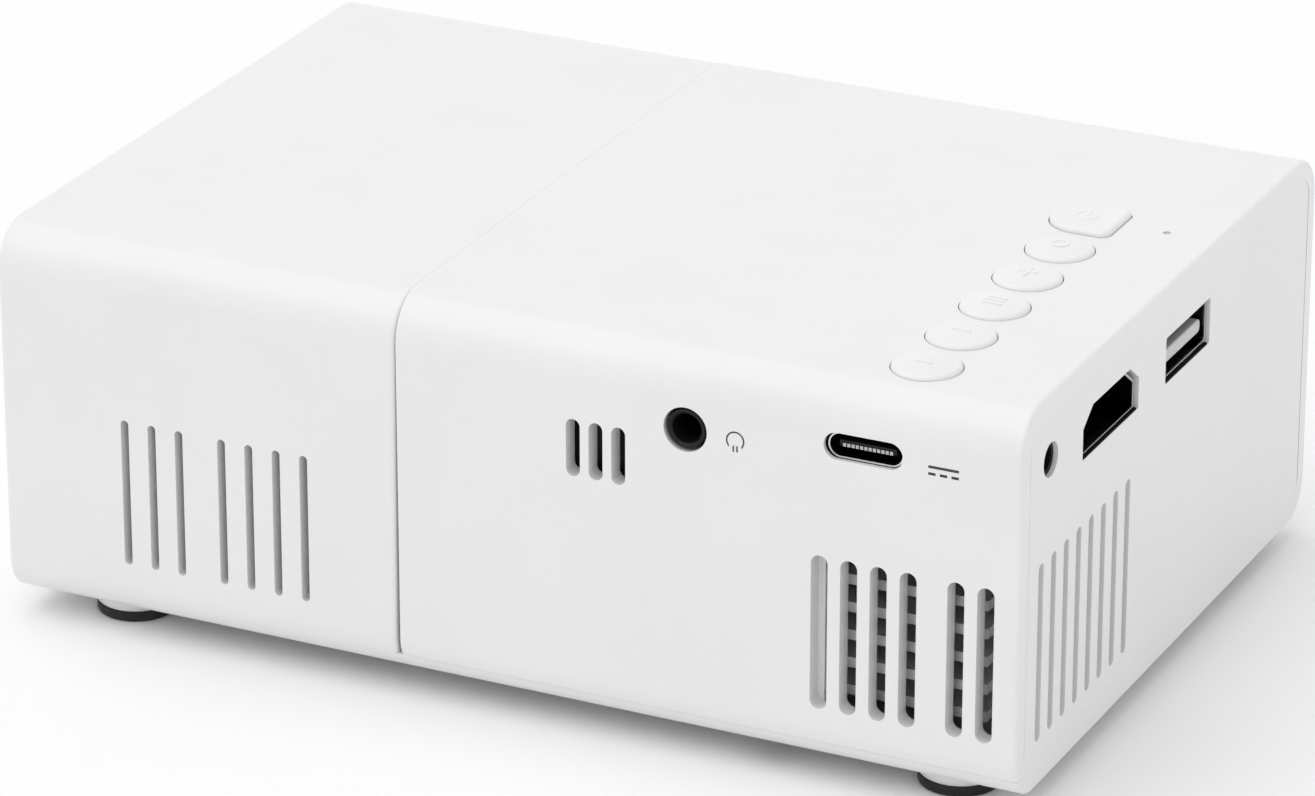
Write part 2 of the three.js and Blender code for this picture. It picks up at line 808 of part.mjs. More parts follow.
function videoShell() {
  const [back, mouth] = [portEnd - portSunk - portDepth, portEnd - portSunk];
  const [width, height] = [videoHoleWidth - 2 * videoPlay, videoHoleHeight - videoPlay];
  const outer = prism(videoOutline(width, height, videoCutWidth, videoCutHeight), "x", back, mouth);
  const inner = prism(videoOutline(width - 2 * portWall, height - 2 * portWall, videoCutWidth - portWall / 2,
    videoCutHeight - portWall / 2), "x", back + portWall, mouth + overrun);
  const topWidth = width - 2 * videoCutWidth;
  return join(cut(outer, inner), boardTabs(videoY, topWidth, videoZ + height / 2, back));
}

function videoTongue() {
  const back = portEnd - portSunk - portDepth + portWall;
  const [halfWidth, halfHeight] = [videoTongueWidth / 2, videoTongueThickness / 2];
  return block(back, portEnd - portSunk - tongueInset, videoY - halfWidth, videoY + halfWidth,
    videoZ - halfHeight, videoZ + halfHeight);
}

function dataShell() {
  const [back, mouth] = [portEnd - portSunk - portDepth, portEnd - portSunk];
  const outer = prism(dataOutline(dataPlay), "x", back, mouth);
  const inner = prism(dataOutline(dataPlay + portWall), "x", back + portWall, mouth + overrun);
  const shellTop = dataZ + dataHoleHeight / 2 - dataPlay;
  return join(cut(outer, inner), boardTabs(dataY, dataHoleWidth - 2 * dataPlay, shellTop, back));
}

function dataTongue() {
  const back = portEnd - portSunk - portDepth + portWall;
  const z = dataZ + dataTongueLift;
  const [halfWidth, halfHeight] = [dataTongueWidth / 2, dataTongueThickness / 2];
  return block(back, portEnd - portSunk - dataTongueInset, dataY - halfWidth, dataY + halfWidth, z - halfHeight,
    z + halfHeight);
}

function chargeShell() {
  const [mouth, back] = [rearFace + chargeSunk, rearFace + chargeSunk + chargeDepth];
  return cut(
    prism(chargeOutline(chargePlay), "y", mouth, back),
    prism(chargeOutline(chargePlay + portWall), "y", mouth - overrun, back - portWall),
  );
}

function chargeTongue() {
  const mouth = rearFace + chargeSunk + chargeTongueInset;
  const back = rearFace + chargeSunk + chargeDepth - portWall;
  const [halfWidth, halfHeight] = [chargeTongueWidth / 2, chargeTongueThickness / 2];
  return block(chargeX - halfWidth, chargeX + halfWidth, mouth, back,
    chargeZ - halfHeight, chargeZ + halfHeight);
}

function headphoneJack() {
  const front = rearInner + jackGap;
  const half = headphoneWidth / 2;
  const low = headphoneZ - noseRadius - jackGap;
  const body = block(headphoneX - half, headphoneX + half, front, front + jackDepth, low, boardLow);
  const nose = rod("y", headphoneX, headphoneZ, noseRadius, rearFace + noseSunk, front + overrun);
  const bore = rod("y", headphoneX, headphoneZ, jackBoreRadius, rearFace, front + jackBoreDepth);
  return cut(join(body, nose), bore);
}

function avJack() {
  const front = portEndInner - jackGap;
  const half = avWidth / 2;
  const body = block(front - jackDepth, front, avY - half, avY + half, avZ - half, boardLow);
  const nose = rod("x", avY, avZ, avHoleRadius - avNosePlay, front - jackDepth / 2, portEnd - avNoseSunk);
  return cut(join(body, nose), rod("x", avY, avZ, avBoreRadius, front - jackBoreDepth, portEnd));
}

function hungBlock(inset, side, height) {
  const [x, y] = onBoard(inset);
  return block(x - side / 2, x + side / 2, y - side / 2, y + side / 2, boardLow - height, boardLow);
}

function capacitor() {
  const [x, y] = onBoard(canInset);
  return rod("z", x, y, canRadius, boardLow - canHeight, boardLow, roundSteps / 2);
}

// Light path from the lamp to the screen plate
function ledBoard() {
  const half = ledBoardSide / 2;
  return block(sinkX - ledBoardThickness, sinkX, axisY - half, axisY + half, axisHeight - half,
    axisHeight + half);
}

function ledEmitter() {
  const face = sinkX - ledBoardThickness;
  const half = emitterSide / 2;
  const dome = turned([[0, -emitterHeight / 2], [emitterDomeRadius, -emitterHeight / 2],
    [emitterDomeRadius, 0], [emitterDomeRadius / 2, emitterDomeHeight * emitterShoulderShare],
    [0, emitterDomeHeight]], smallSteps);
  return join(
    block(face - emitterHeight, face, axisY - half, axisY + half, axisHeight - half, axisHeight + half),
    dome.rotate([0, -90, 0]).translate([face - emitterHeight, axisY, axisHeight]),
  );
}

function heatSink() {
  const topFin = underside + firstFinZ + (finCount - 1) * finPitch;
  const base = block(sinkX, sinkX + sinkBase, sinkRear, sinkFront, floorTop, topFin + finThickness / 2);
  const fins = Array.from({ length: finCount }, (_, i) => {
    const z = underside + firstFinZ + i * finPitch;
    return block(sinkX + sinkBase / 2, sinkX + sinkBase + finReach, sinkRear, sinkFront, z - finThickness / 2,
      z + finThickness / 2);
  });
  const room = prism(bodySection(wall + frameGap), "x", sinkX, sinkX + sinkBase + finReach);
  return join(base, fins).intersect(room);
}

// A four-sided funnel along x, with its wide end at the left
function funnel(left, right, leftWidth, leftHeight, rightWidth, rightHeight) {
  const corner = (x, width, height) => [[-1, -1], [1, -1], [1, 1], [-1, 1]].map(([u, v]) =>
    new THREE.Vector3(x, axisY + (u * width) / 2, axisHeight + (v * height) / 2));
  const points = [...corner(left, leftWidth, leftHeight), ...corner(right, rightWidth, rightHeight)];
  const geometry = new THREE.BufferGeometry().setFromPoints(points);
  geometry.setIndex([0, 2, 1, 0, 3, 2, 4, 5, 6, 4, 6, 7,
    0, 1, 5, 0, 5, 4, 1, 2, 6, 1, 6, 5, 2, 3, 7, 2, 7, 6, 3, 0, 4, 3, 4, 7]);
  return toSolid(geometry);
}

const boxRight = sinkX - ledBoardThickness - boxLedGap;
const lcdOpening = { width: lcdWidth - 2 * lcdBezel, height: lcdHeight - 2 * lcdBezel };

function lightBox() {
  const grow = 2 * boxSkin;
  const slopeY = (lcdOpening.width - boxSmallWidth) / (boxRight - frameRight);
  const slopeZ = (lcdOpening.height - boxSmallHeight) / (boxRight - frameRight);
  const outer = funnel(frameRight, boxRight, lcdOpening.width + grow, lcdOpening.height + grow,
    boxSmallWidth + grow, boxSmallHeight + grow);
  const inner = funnel(frameRight - overrun, boxRight + overrun, lcdOpening.width + overrun * slopeY,
    lcdOpening.height + overrun * slopeZ, boxSmallWidth - overrun * slopeY, boxSmallHeight - overrun * slopeZ);
  return cut(outer, inner);
}

function condenserLens() {
  const radius = Math.min(boxSmallWidth, boxSmallHeight) / 2;
  const flatX = sinkX - ledBoardThickness - emitterHeight - emitterDomeHeight - condenserGap;
  const rim = condenserThickness * condenserRimShare;
  const rise = condenserThickness - rim;
  const arc = [3, 2, 1].map((i) => {
    const share = i / 4;
    return [radius * share, rim + rise * (1 - share * share)];
  });
  const profile = [[0, 0], [radius, 0], [radius, rim], ...arc, [0, condenserThickness]];
  return turned(profile, roundSteps).rotate([0, -90, 0]).translate([flatX, axisY, axisHeight]);
}

const frameLeft = frameRight - 2 * fresnelThickness - lcdThickness - 4 * plateSpace;
const lcdRight = frameRight - fresnelThickness - 2 * plateSpace;

function lightPlate(right, thickness) {
  return block(right - thickness, right, axisY - lcdWidth / 2, axisY + lcdWidth / 2,
    axisHeight - lcdHeight / 2, axisHeight + lcdHeight / 2);
}

function lcdFrame() {
  const [innerWidth, innerHeight] = [lcdWidth / 2 + plateGap, lcdHeight / 2 + plateGap];
  const body = block(frameLeft, frameRight, axisY - innerWidth - frameRim, axisY + innerWidth + frameRim,
    floorTop, axisHeight + innerHeight + frameRim);
  const window = block(frameLeft - overrun, frameRight + overrun, axisY - innerWidth, axisY + innerWidth,
    axisHeight - innerHeight, axisHeight + innerHeight);
  const middle = lcdRight - lcdThickness / 2;
  const slit = block(middle - ribbonThickness / 2 - ribbonPlay, middle + ribbonThickness / 2 + ribbonPlay,
    axisY - ribbonWidth / 2 - ribbonPlay, axisY + ribbonWidth / 2 + ribbonPlay, axisHeight,
    axisHeight + innerHeight + frameRim + overrun);
  const room = prism(bodySection(wall + frameGap), "x", frameLeft - overrun, frameRight + overrun);
  return cut(body, window, slit).intersect(room);
}

function lcdRibbon() {
  const middle = lcdRight - lcdThickness / 2;
  const low = axisHeight + lcdHeight / 2 + plateGap;
  const high = boardLow - plateGap;
  const [left, right] = [middle - ribbonThickness / 2, middle + ribbonThickness / 2];
  const outline = new THREE.Shape();
  outline.moveTo(left, low);
  outline.lineTo(right, low);
  outline.lineTo(right, high - ribbonThickness);
  outline.lineTo(middle + ribbonRun, high - ribbonThickness);
  outline.lineTo(middle + ribbonRun, high);
  outline.lineTo(left, high);
  outline.closePath();
  return prism(outline, "y", axisY - ribbonWidth / 2, axisY + ribbonWidth / 2);
}

// Mirror and its holder, drawn with the mirrored face at y = 0 and turned by a group
function mirrorPlate() {
  return block(-mirrorLength / 2, mirrorLength / 2, -mirrorThickness, 0, -lcdHeight / 2, lcdHeight / 2);
}

function mirrorHolder() {
  const low = floorTop - axisHeight;
  const high = lcdHeight / 2 - holderTopDrop;
  const back = -mirrorThickness - holderGap;
  const half = mirrorLength / 2 + holderGap;
  const plate = block(-half - holderLip, half + holderLip, back - holderThickness, back, low, high);
  const lips = [-1, 1].map((side) => block(Math.min(side * half, side * (half + holderLip)),
    Math.max(side * half, side * (half + holderLip)), back - holderThickness, holderLip, low, high));
  const ledge = block(-half - holderLip, half + holderLip, back - holderThickness, holderLip, low,
    -lcdHeight / 2 - holderGap);
  return join(plate, lips, ledge);
}

// Lens, focus ring and mount
const ringFront = frontFace + ringProud;
const barrelFront = ringFront - ringMouthFlare - barrelSunk - focusTravel;
const barrelRear = barrelFront - barrelLength;
const ringRear = ringFront - ringLength;
const mountFront = ringRear - ringMountGap;
const mountRear = mountFront - mountTubeLength;

function ridgedOutline(radius, ridge, count) {
  const outline = new THREE.Shape();
  const steps = 4 * count;
  for (let i = 0; i < steps; i += 1) {
    const angle = (2 * Math.PI * i) / steps;
    const reach = i % 4 < 2 ? radius : radius - ridge;
    const [u, v] = [lensX + reach * Math.cos(angle), axisHeight + reach * Math.sin(angle)];
    if (i === 0) outline.moveTo(u, v);
    else outline.lineTo(u, v);
  }
  outline.closePath();
  return outline;
}

function focusRing() {
  const bore = barrelRadius + barrelPlay;
  const collarFront = frontInner - ringCollarPlay;
  const collar = ringRadius + ringHolePlay + ringCollarWidth;
  const mouth = turned([[0, -overrun], [bore, -overrun], [bore, 0], [bore + ringMouthFlare, ringMouthFlare],
    [bore + ringMouthFlare, ringMouthFlare + overrun], [0, ringMouthFlare + overrun]], roundSteps);
  return cut(
    join(
      prism(ridgedOutline(ringRadius, ringRidge, ringRidgeCount), "y", ringRear, ringFront),
      rod("y", lensX, axisHeight, collar, collarFront - ringCollarThickness, collarFront),
    ),
    rod("y", lensX, axisHeight, bore, ringRear - overrun, ringFront + overrun),
    mouth.rotate([-90, 0, 0]).translate([lensX, ringFront - ringMouthFlare, axisHeight]),
  );
}

function lensBarrel() {
  return cut(
    rod("y", lensX, axisHeight, barrelRadius, barrelRear, barrelFront),
    rod("y", lensX, axisHeight, barrelRadius - barrelSkin, barrelRear - overrun, barrelFront + overrun),
  );
}

function lensMount() {
  const bore = barrelRadius + barrelPlay;
  const plateFront = mountRear + mountTubeLength / 2;
  const half = bore + mountSkin + mountPlateMargin;
  const plate = block(lensX - half, lensX + half, plateFront - mountPlateThickness, plateFront, floorTop,
    axisHeight + bore + mountPlateRise);
  return cut(
    join(rod("y", lensX, axisHeight, bore + mountSkin, mountRear, mountFront), plate),
    rod("y", lensX, axisHeight, bore, mountRear - overrun, mountFront + overrun),
  );
}

// A glass that bulges on both faces, about the lens axis, with its rear pole at the given place
function lensGlass(rear, thickness) {
  const radius = barrelRadius - barrelSkin - glassGap;
  const rim = thickness * glassEdgeShare;
  const bulge = (thickness - rim) / 2;
  const shares = [0.4, 0.75];
  const lowArc = shares.map((share) => [radius * share, bulge * share * share]);
  const highArc = [...shares].reverse().map((share) => [radius * share, thickness - bulge * share * share]);
  const profile = [[0, 0], ...lowArc, [radius, bulge], [radius, bulge + rim], ...highArc, [0, thickness]];
  return turned(profile, roundSteps).rotate([-90, 0, 0]).translate([lensX, rear, axisHeight]);
}

// Fan
const fanSide = boardLow - floorTop - fanTopRoom;
const fanX = portEndInner - fanEndGap - fanSide / 2;
const boxSlope = (lcdOpening.width - boxSmallWidth) / (boxRight - frameRight) / 2;
const boxReach = boxSmallWidth / 2 + boxSkin + (boxRight - fanX + fanSide / 2) * boxSlope;
const fanRear = Math.max(sinkFront + fanSinkGap, axisY + boxReach + fanBoxGap);
const fanFront = fanRear + fanDepth;
const fanZ = floorTop + fanSide / 2;
const fanBoreRadius = fanSide / 2 - fanRim;

function fanFrame() {
  const half = fanSide / 2;
  const body = block(fanX - half, fanX + half, fanRear, fanFront, fanZ - half, fanZ + half);
  const bore = rod("y", fanX, fanZ, fanBoreRadius, fanRear - overrun, fanFront + overrun);
  const corners = [-1, 1].flatMap((u) => [-1, 1].map((v) => rod("y", fanX + u * (half - fanHoleInset),
    fanZ + v * (half - fanHoleInset), fanHoleRadius, fanRear - overrun, fanFront + overrun, smallSteps)));
  const spokes = Array.from({ length: fanSpokeCount }, (_, i) => {
    const spoke = block(0, half, -fanPlate, 0, -fanSpokeWidth / 2, fanSpokeWidth / 2);
    return spoke.rotate([0, (360 * i) / fanSpokeCount + 90, 0]).translate([fanX, fanFront, fanZ]);
  });
  const hub = rod("y", fanX, fanZ, fanHubRadius, fanFront - fanPlate, fanFront);
  const bearingRear = fanFront - bearingLength - fanPlate;
  const bearing = rod("y", fanX, fanZ, bearingRadius, bearingRear, fanFront, roundSteps / 2);
  const shaftHole = rod("y", fanX, fanZ, shaftRadius + shaftPlay, fanRear, fanFront - fanPlate / 2);
  return cut(join(cut(body, bore, corners), spokes, hub, bearing), shaftHole);
}

function fanRotor() {
  const hubFront = fanFront - fanPlate - fanHubGap;
  const cupDepth = hubFront - fanRear - fanHubGap;
  const hubRear = hubFront - cupDepth;
  const cup = cut(
    rod("y", fanX, fanZ, fanHubRadius, hubRear, hubFront),
    rod("y", fanX, fanZ, bearingRadius + fanHubGap, hubFront - bearingLength, hubFront + overrun,
      roundSteps / 2),
  );
  const shaftFrom = hubFront - bearingLength - fanPlate / 2;
  const shaft = rod("y", fanX, fanZ, shaftRadius, shaftFrom, shaftFrom + shaftLength, roundSteps / 2);
  const tip = fanBoreRadius - bladeTipGap;
  const middle = (hubRear + hubFront) / 2;
  const root = fanHubRadius - bladeThickness;
  const blades = Array.from({ length: bladeCount }, (_, i) => {
    const blade = block(root, tip, -bladeThickness / 2, bladeThickness / 2, -bladeChord / 2, bladeChord / 2);
    return blade.rotate([90 - bladePitchDegrees, 0, 0]).rotate([0, (360 * i) / bladeCount, 0])
      .translate([fanX, middle, fanZ]);
  });
  return join(cup, shaft, blades);
}

// Speaker, behind the three short slots
const speakerX = soundSlotPlaces()[1];
const speakerZ = soundSlotLow + soundSlotHeight / 2;
const speakerFront = rearInner + speakerWallGap;

function speakerTurned(profile, steps) {
  return turned(profile, steps).rotate([-90, 0, 0]).translate([speakerX, speakerFront, speakerZ]);
}

function speakerBasket() {
  const inner = speakerRadius - basketSkin;
  return speakerTurned([[0, basketDepth - basketBack], [inner, basketDepth - basketBack], [inner, 0],
    [speakerRadius, 0], [speakerRadius, basketDepth], [0, basketDepth]], roundSteps / 2);
}

function speakerCone() {
  const radius = speakerRadius - basketSkin - coneGap;
  const low = coneTravel + coneClear;
  return speakerTurned([[0, low + coneFall], [radius / 3, low + coneFall], [radius, low],
    [radius, low + coneThickness], [radius / 3, low + coneFall + coneThickness],
    [0, low + coneFall + coneThickness]], roundSteps / 2);
}

function speakerMagnet() {
  const back = basketDepth + magnetThickness;
  return speakerTurned([[0, basketDepth], [magnetRadius, basketDepth], [magnetRadius, back], [0, back]],
    roundSteps / 2);
}

// Inner leads, each one tube along its route
function lead(points, steps) {
  const route = new THREE.CatmullRomCurve3(points.map(([x, y, z]) => new THREE.Vector3(x, y, z)));
  const geometry = new THREE.ExtrudeGeometry(circleOutline(0, 0, leadRadius, 8),
    { steps, bevelEnabled: false, extrudePath: route });
  return toSolid(geometry);
}

function fanLead() {
  const x = fanX - leadBend;
  const y = fanRear + fanDepth / 2;
  const [low, high] = [fanZ + fanSide / 2 + leadGap, boardLow - leadGap];
  const [left, front] = [x - leadBend / 2, y + 2 * leadBend];
  return lead([[x, y, low], [x, y, low + leadBend / 2], [left, y + leadBend, (low + high) / 2],
    [left, front, high - leadBend / 2], [left, front, high]], 10);
}

function ledLead() {
  const x = sinkX - leadRadius - boxLedGap / 2;
  const [low, high] = [axisHeight + ledBoardSide / 2 + leadGap, boardLow - leadGap];
  return lead([[x, axisY, low], [x, axisY, low + leadBend], [x - leadBend, axisY + leadBend, high - leadBend],
    [x - leadBend, axisY + leadBend, high]], 10);
}

function speakerLead() {
  const x = speakerX - speakerRadius / 2;
  const y = speakerFront + basketDepth + leadRadius + leadGap;
  const high = boardLow - leadGap;
  const low = high - leadBend;
  return lead([[x, y, low], [x, y + leadRadius / 2, (low + high) / 2], [x, y + leadRadius, high]], 4);
}

// Materials
const plastic = (color, roughness) => new THREE.MeshStandardMaterial({ color, roughness, metalness: 0 });
const metal = (color, roughness) => new THREE.MeshStandardMaterial({ color, roughness, metalness: 1 });
const clear = (color) => new THREE.MeshStandardMaterial({
  color,
  roughness: 0.05,
  transparent: true,
  opacity: 0.35,
});
const whiteCase = plastic("#efefef", 0.4);
const whiteTray = plastic("#e6e6e6", 0.45);
const whiteButton = plastic("#f0f0f0", 0.35);
const blackRubber = plastic("#1b1b1b", 0.9);
const blackPlastic = plastic("#202022", 0.55);
const blackRing = plastic("#151517", 0.5);
const greyPlastic = plastic("#b9b9bb", 0.5);
const steel = metal("#c3c5c8", 0.3);
const brass = metal("#c9a354", 0.35);
const aluminium = metal("#b9bcc0", 0.45);
const boardGreen = plastic("#1f5a3a", 0.5);
const domeFilm = plastic("#d9d2b4", 0.4);
const amber = plastic("#c07a2c", 0.5);
const lampYellow = plastic("#e8d45a", 0.4);
const glass = clear("#e8f2f4");
const mirrorFace = metal("#e4e8ea", 0.05);
const leadBlack = plastic("#242424", 0.6);

// The assembly
const projector = new THREE.Group();
projector.position.set(0, -ringProud / 2, 0);

function addPiece(name, solid, material, parent = projector) {
  const mesh = new THREE.Mesh(toGeometry(solid), material);
  mesh.name = name;
  parent.add(mesh);
  return mesh;
}

addPiece("main_cover", mainCover(), whiteCase);
addPiece("lens_cover", lensCover(), whiteCase);
addPiece("bottom_shell", bottomShell(), whiteTray);
for (const place of footPlaces) addPiece(place.name, footPad(place), blackRubber);
for (const { name, x, y } of screwPlaces) {
  const headLow = underside + screwRecess;
  const length = towerTop + screwGrip - headLow - screwHeadHeight;
  addPiece(name, screw(screwHeadHeight, length), steel).position.set(x, y, headLow);
}
addPiece("tripod_nut", tripodNut(), brass);

for (const place of buttonPlaces) addPiece(place.name, roundButton(place), whiteButton);
addPiece("button_power", powerButton(), whiteButton);
addPiece("switch_strip", switchStrip(), domeFilm);
addPiece("light_pipe", lightPipe(), clear("#f4f4f0"));
addPiece("status_led", statusLed(), lampYellow);

addPiece("main_board", mainBoard(), boardGreen);
boardPostPlaces.forEach(([x, y], i) => {
  const length = boardThickness + boardScrewGrip - boardScrewHeadHeight;
  const piece = addPiece(`board_screw_${i + 1}`, screw(boardScrewHeadHeight, length), steel);
  piece.position.set(x, y, boardLow - boardScrewHeadHeight);
});
addPiece("video_shell", videoShell(), steel);
addPiece("video_tongue", videoTongue(), blackPlastic);
addPiece("data_shell", dataShell(), steel);
addPiece("data_tongue", dataTongue(), greyPlastic);
addPiece("charge_shell", chargeShell(), steel);
addPiece("charge_tongue", chargeTongue(), blackPlastic);
addPiece("headphone_jack", headphoneJack(), blackPlastic);
addPiece("av_jack", avJack(), blackPlastic);
addPiece("main_chip", hungBlock(chipInset, chipSide, chipThickness), blackPlastic);
addPiece("capacitor", capacitor(), aluminium);
addPiece("inductor", hungBlock(coilInset, coilSide, coilHeight), greyPlastic);

addPiece("led_board", ledBoard(), aluminium);
addPiece("led_emitter", ledEmitter(), lampYellow);
addPiece("heat_sink", heatSink(), aluminium);
addPiece("light_box", lightBox(), blackPlastic);
addPiece("condenser_lens", condenserLens(), glass);
addPiece("lcd_frame", lcdFrame(), blackPlastic);
addPiece("fresnel_rear", lightPlate(frameRight - plateSpace, fresnelThickness), glass);
addPiece("lcd_panel", lightPlate(lcdRight, lcdThickness), blackPlastic);
addPiece("fresnel_front", lightPlate(frameLeft + plateSpace + fresnelThickness, fresnelThickness), glass);
addPiece("lcd_ribbon", lcdRibbon(), amber);

const mirrorPlace = new THREE.Group();
mirrorPlace.position.set(lensX, axisY, axisHeight);
mirrorPlace.rotation.z = -Math.PI / 4;
projector.add(mirrorPlace);
addPiece("mirror", mirrorPlate(), mirrorFace, mirrorPlace);
addPiece("mirror_holder", mirrorHolder(), blackPlastic, mirrorPlace);

addPiece("lens_mount", lensMount(), blackPlastic);
addPiece("lens_barrel", lensBarrel(), blackPlastic);
const frontGlassRear = barrelFront - glassSetback - frontGlassThickness;
addPiece("lens_glass_front", lensGlass(frontGlassRear, frontGlassThickness), glass);
addPiece("lens_glass_rear", lensGlass(barrelRear + glassSetback, rearGlassThickness), glass);
addPiece("focus_ring", focusRing(), blackRing);

addPiece("fan_frame", fanFrame(), blackPlastic);
addPiece("fan_rotor", fanRotor(), blackPlastic);
addPiece("speaker_basket", speakerBasket(), steel);
addPiece("speaker_cone", speakerCone(), blackPlastic);
addPiece("speaker_magnet", speakerMagnet(), steel);
addPiece("fan_lead", fanLead(), leadBlack);
addPiece("led_lead", ledLead(), leadBlack);
addPiece("speaker_lead", speakerLead(), leadBlack);

export default projector;
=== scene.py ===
"""Mini projector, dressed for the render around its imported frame.

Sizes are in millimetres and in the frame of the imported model: +X to the short end with the large sockets,
+Y to the lens side, +Z up. Each mesh is turned to metres when its piece is finished.
"""
import logging
import math
from collections.abc import Callable, Iterable, Sequence
from dataclasses import dataclass, field
from enum import Enum

import bmesh
import bpy
from mathutils import Matrix, Vector


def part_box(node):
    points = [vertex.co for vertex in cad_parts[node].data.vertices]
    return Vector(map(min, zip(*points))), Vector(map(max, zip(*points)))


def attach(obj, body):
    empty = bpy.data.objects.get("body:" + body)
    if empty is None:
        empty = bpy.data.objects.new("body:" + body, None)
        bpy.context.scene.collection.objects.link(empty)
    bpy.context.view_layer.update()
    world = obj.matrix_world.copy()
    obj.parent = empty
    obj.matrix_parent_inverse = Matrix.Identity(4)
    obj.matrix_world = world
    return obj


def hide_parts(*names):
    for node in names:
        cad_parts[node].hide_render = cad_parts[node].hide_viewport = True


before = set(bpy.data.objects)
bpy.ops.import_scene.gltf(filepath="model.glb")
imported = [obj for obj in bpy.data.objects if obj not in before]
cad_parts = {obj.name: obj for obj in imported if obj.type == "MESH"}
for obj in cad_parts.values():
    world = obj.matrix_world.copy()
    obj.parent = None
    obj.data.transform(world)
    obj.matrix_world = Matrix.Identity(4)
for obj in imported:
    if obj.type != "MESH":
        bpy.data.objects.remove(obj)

MM = 0.001
TURN = 2 * math.pi
# How far a cutting form reaches past what it cuts
OVERRUN = 1.0
# Places nearer to each other than this count as one place
CLOSE = 1e-4
# Closer still, for the joins of a form that was just made
TIGHT = 1e-5
# Faces that turn by less than this many degrees are shaded as one surface
SMOOTH_ANGLE = 38.0
# Faces that turn by more than this many degrees meet in a corner
CORNER_ANGLE = 50.0

log = logging.getLogger("projector")

Point = tuple[float, float]
Spot = tuple[float, float, float]


class Axis(Enum):
    """The axis that a shape is extruded or turned about.

    The columns say where the outline's first and second number and the height go.
    """

    X = ((0, 0, 1), (1, 0, 0), (0, 1, 0))
    Y = ((1, 0, 0), (0, 0, 1), (0, 1, 0))
    Z = ((1, 0, 0), (0, 1, 0), (0, 0, 1))

    def matrix(self) -> Matrix:
        """The matrix that takes outline and height to x, y and z."""
        return Matrix(self.value).to_4x4()


class Body(Enum):
    """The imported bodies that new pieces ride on."""

    CASING = "casing"
    SOURCE = "source_button"
    MINUS = "minus_button"
    MENU = "menu_button"
    PLUS = "plus_button"
    OK = "ok_button"
    POWER = "power_button"
    FOCUS = "focus_grip"
    BARREL = "barrel"


class Slot(Enum):
    """The record's material slots that new pieces take their finish from."""

    CASE = "white_case"
    TRAY = "white_tray"
    BUTTON = "white_button"
    RUBBER = "black_rubber"
    BLACK = "black_plastic"
    RING = "black_ring"
    GREY = "grey_plastic"
    GLASS = "glass"
    STEEL = "steel"
    BRASS = "brass"
    FILM = "amber_film"
    LEAD = "lead_sheath"


class Join(Enum):
    """How one form meets another."""

    CUT = "DIFFERENCE"
    UNITE = "UNION"
    KEEP_SHARED = "INTERSECT"


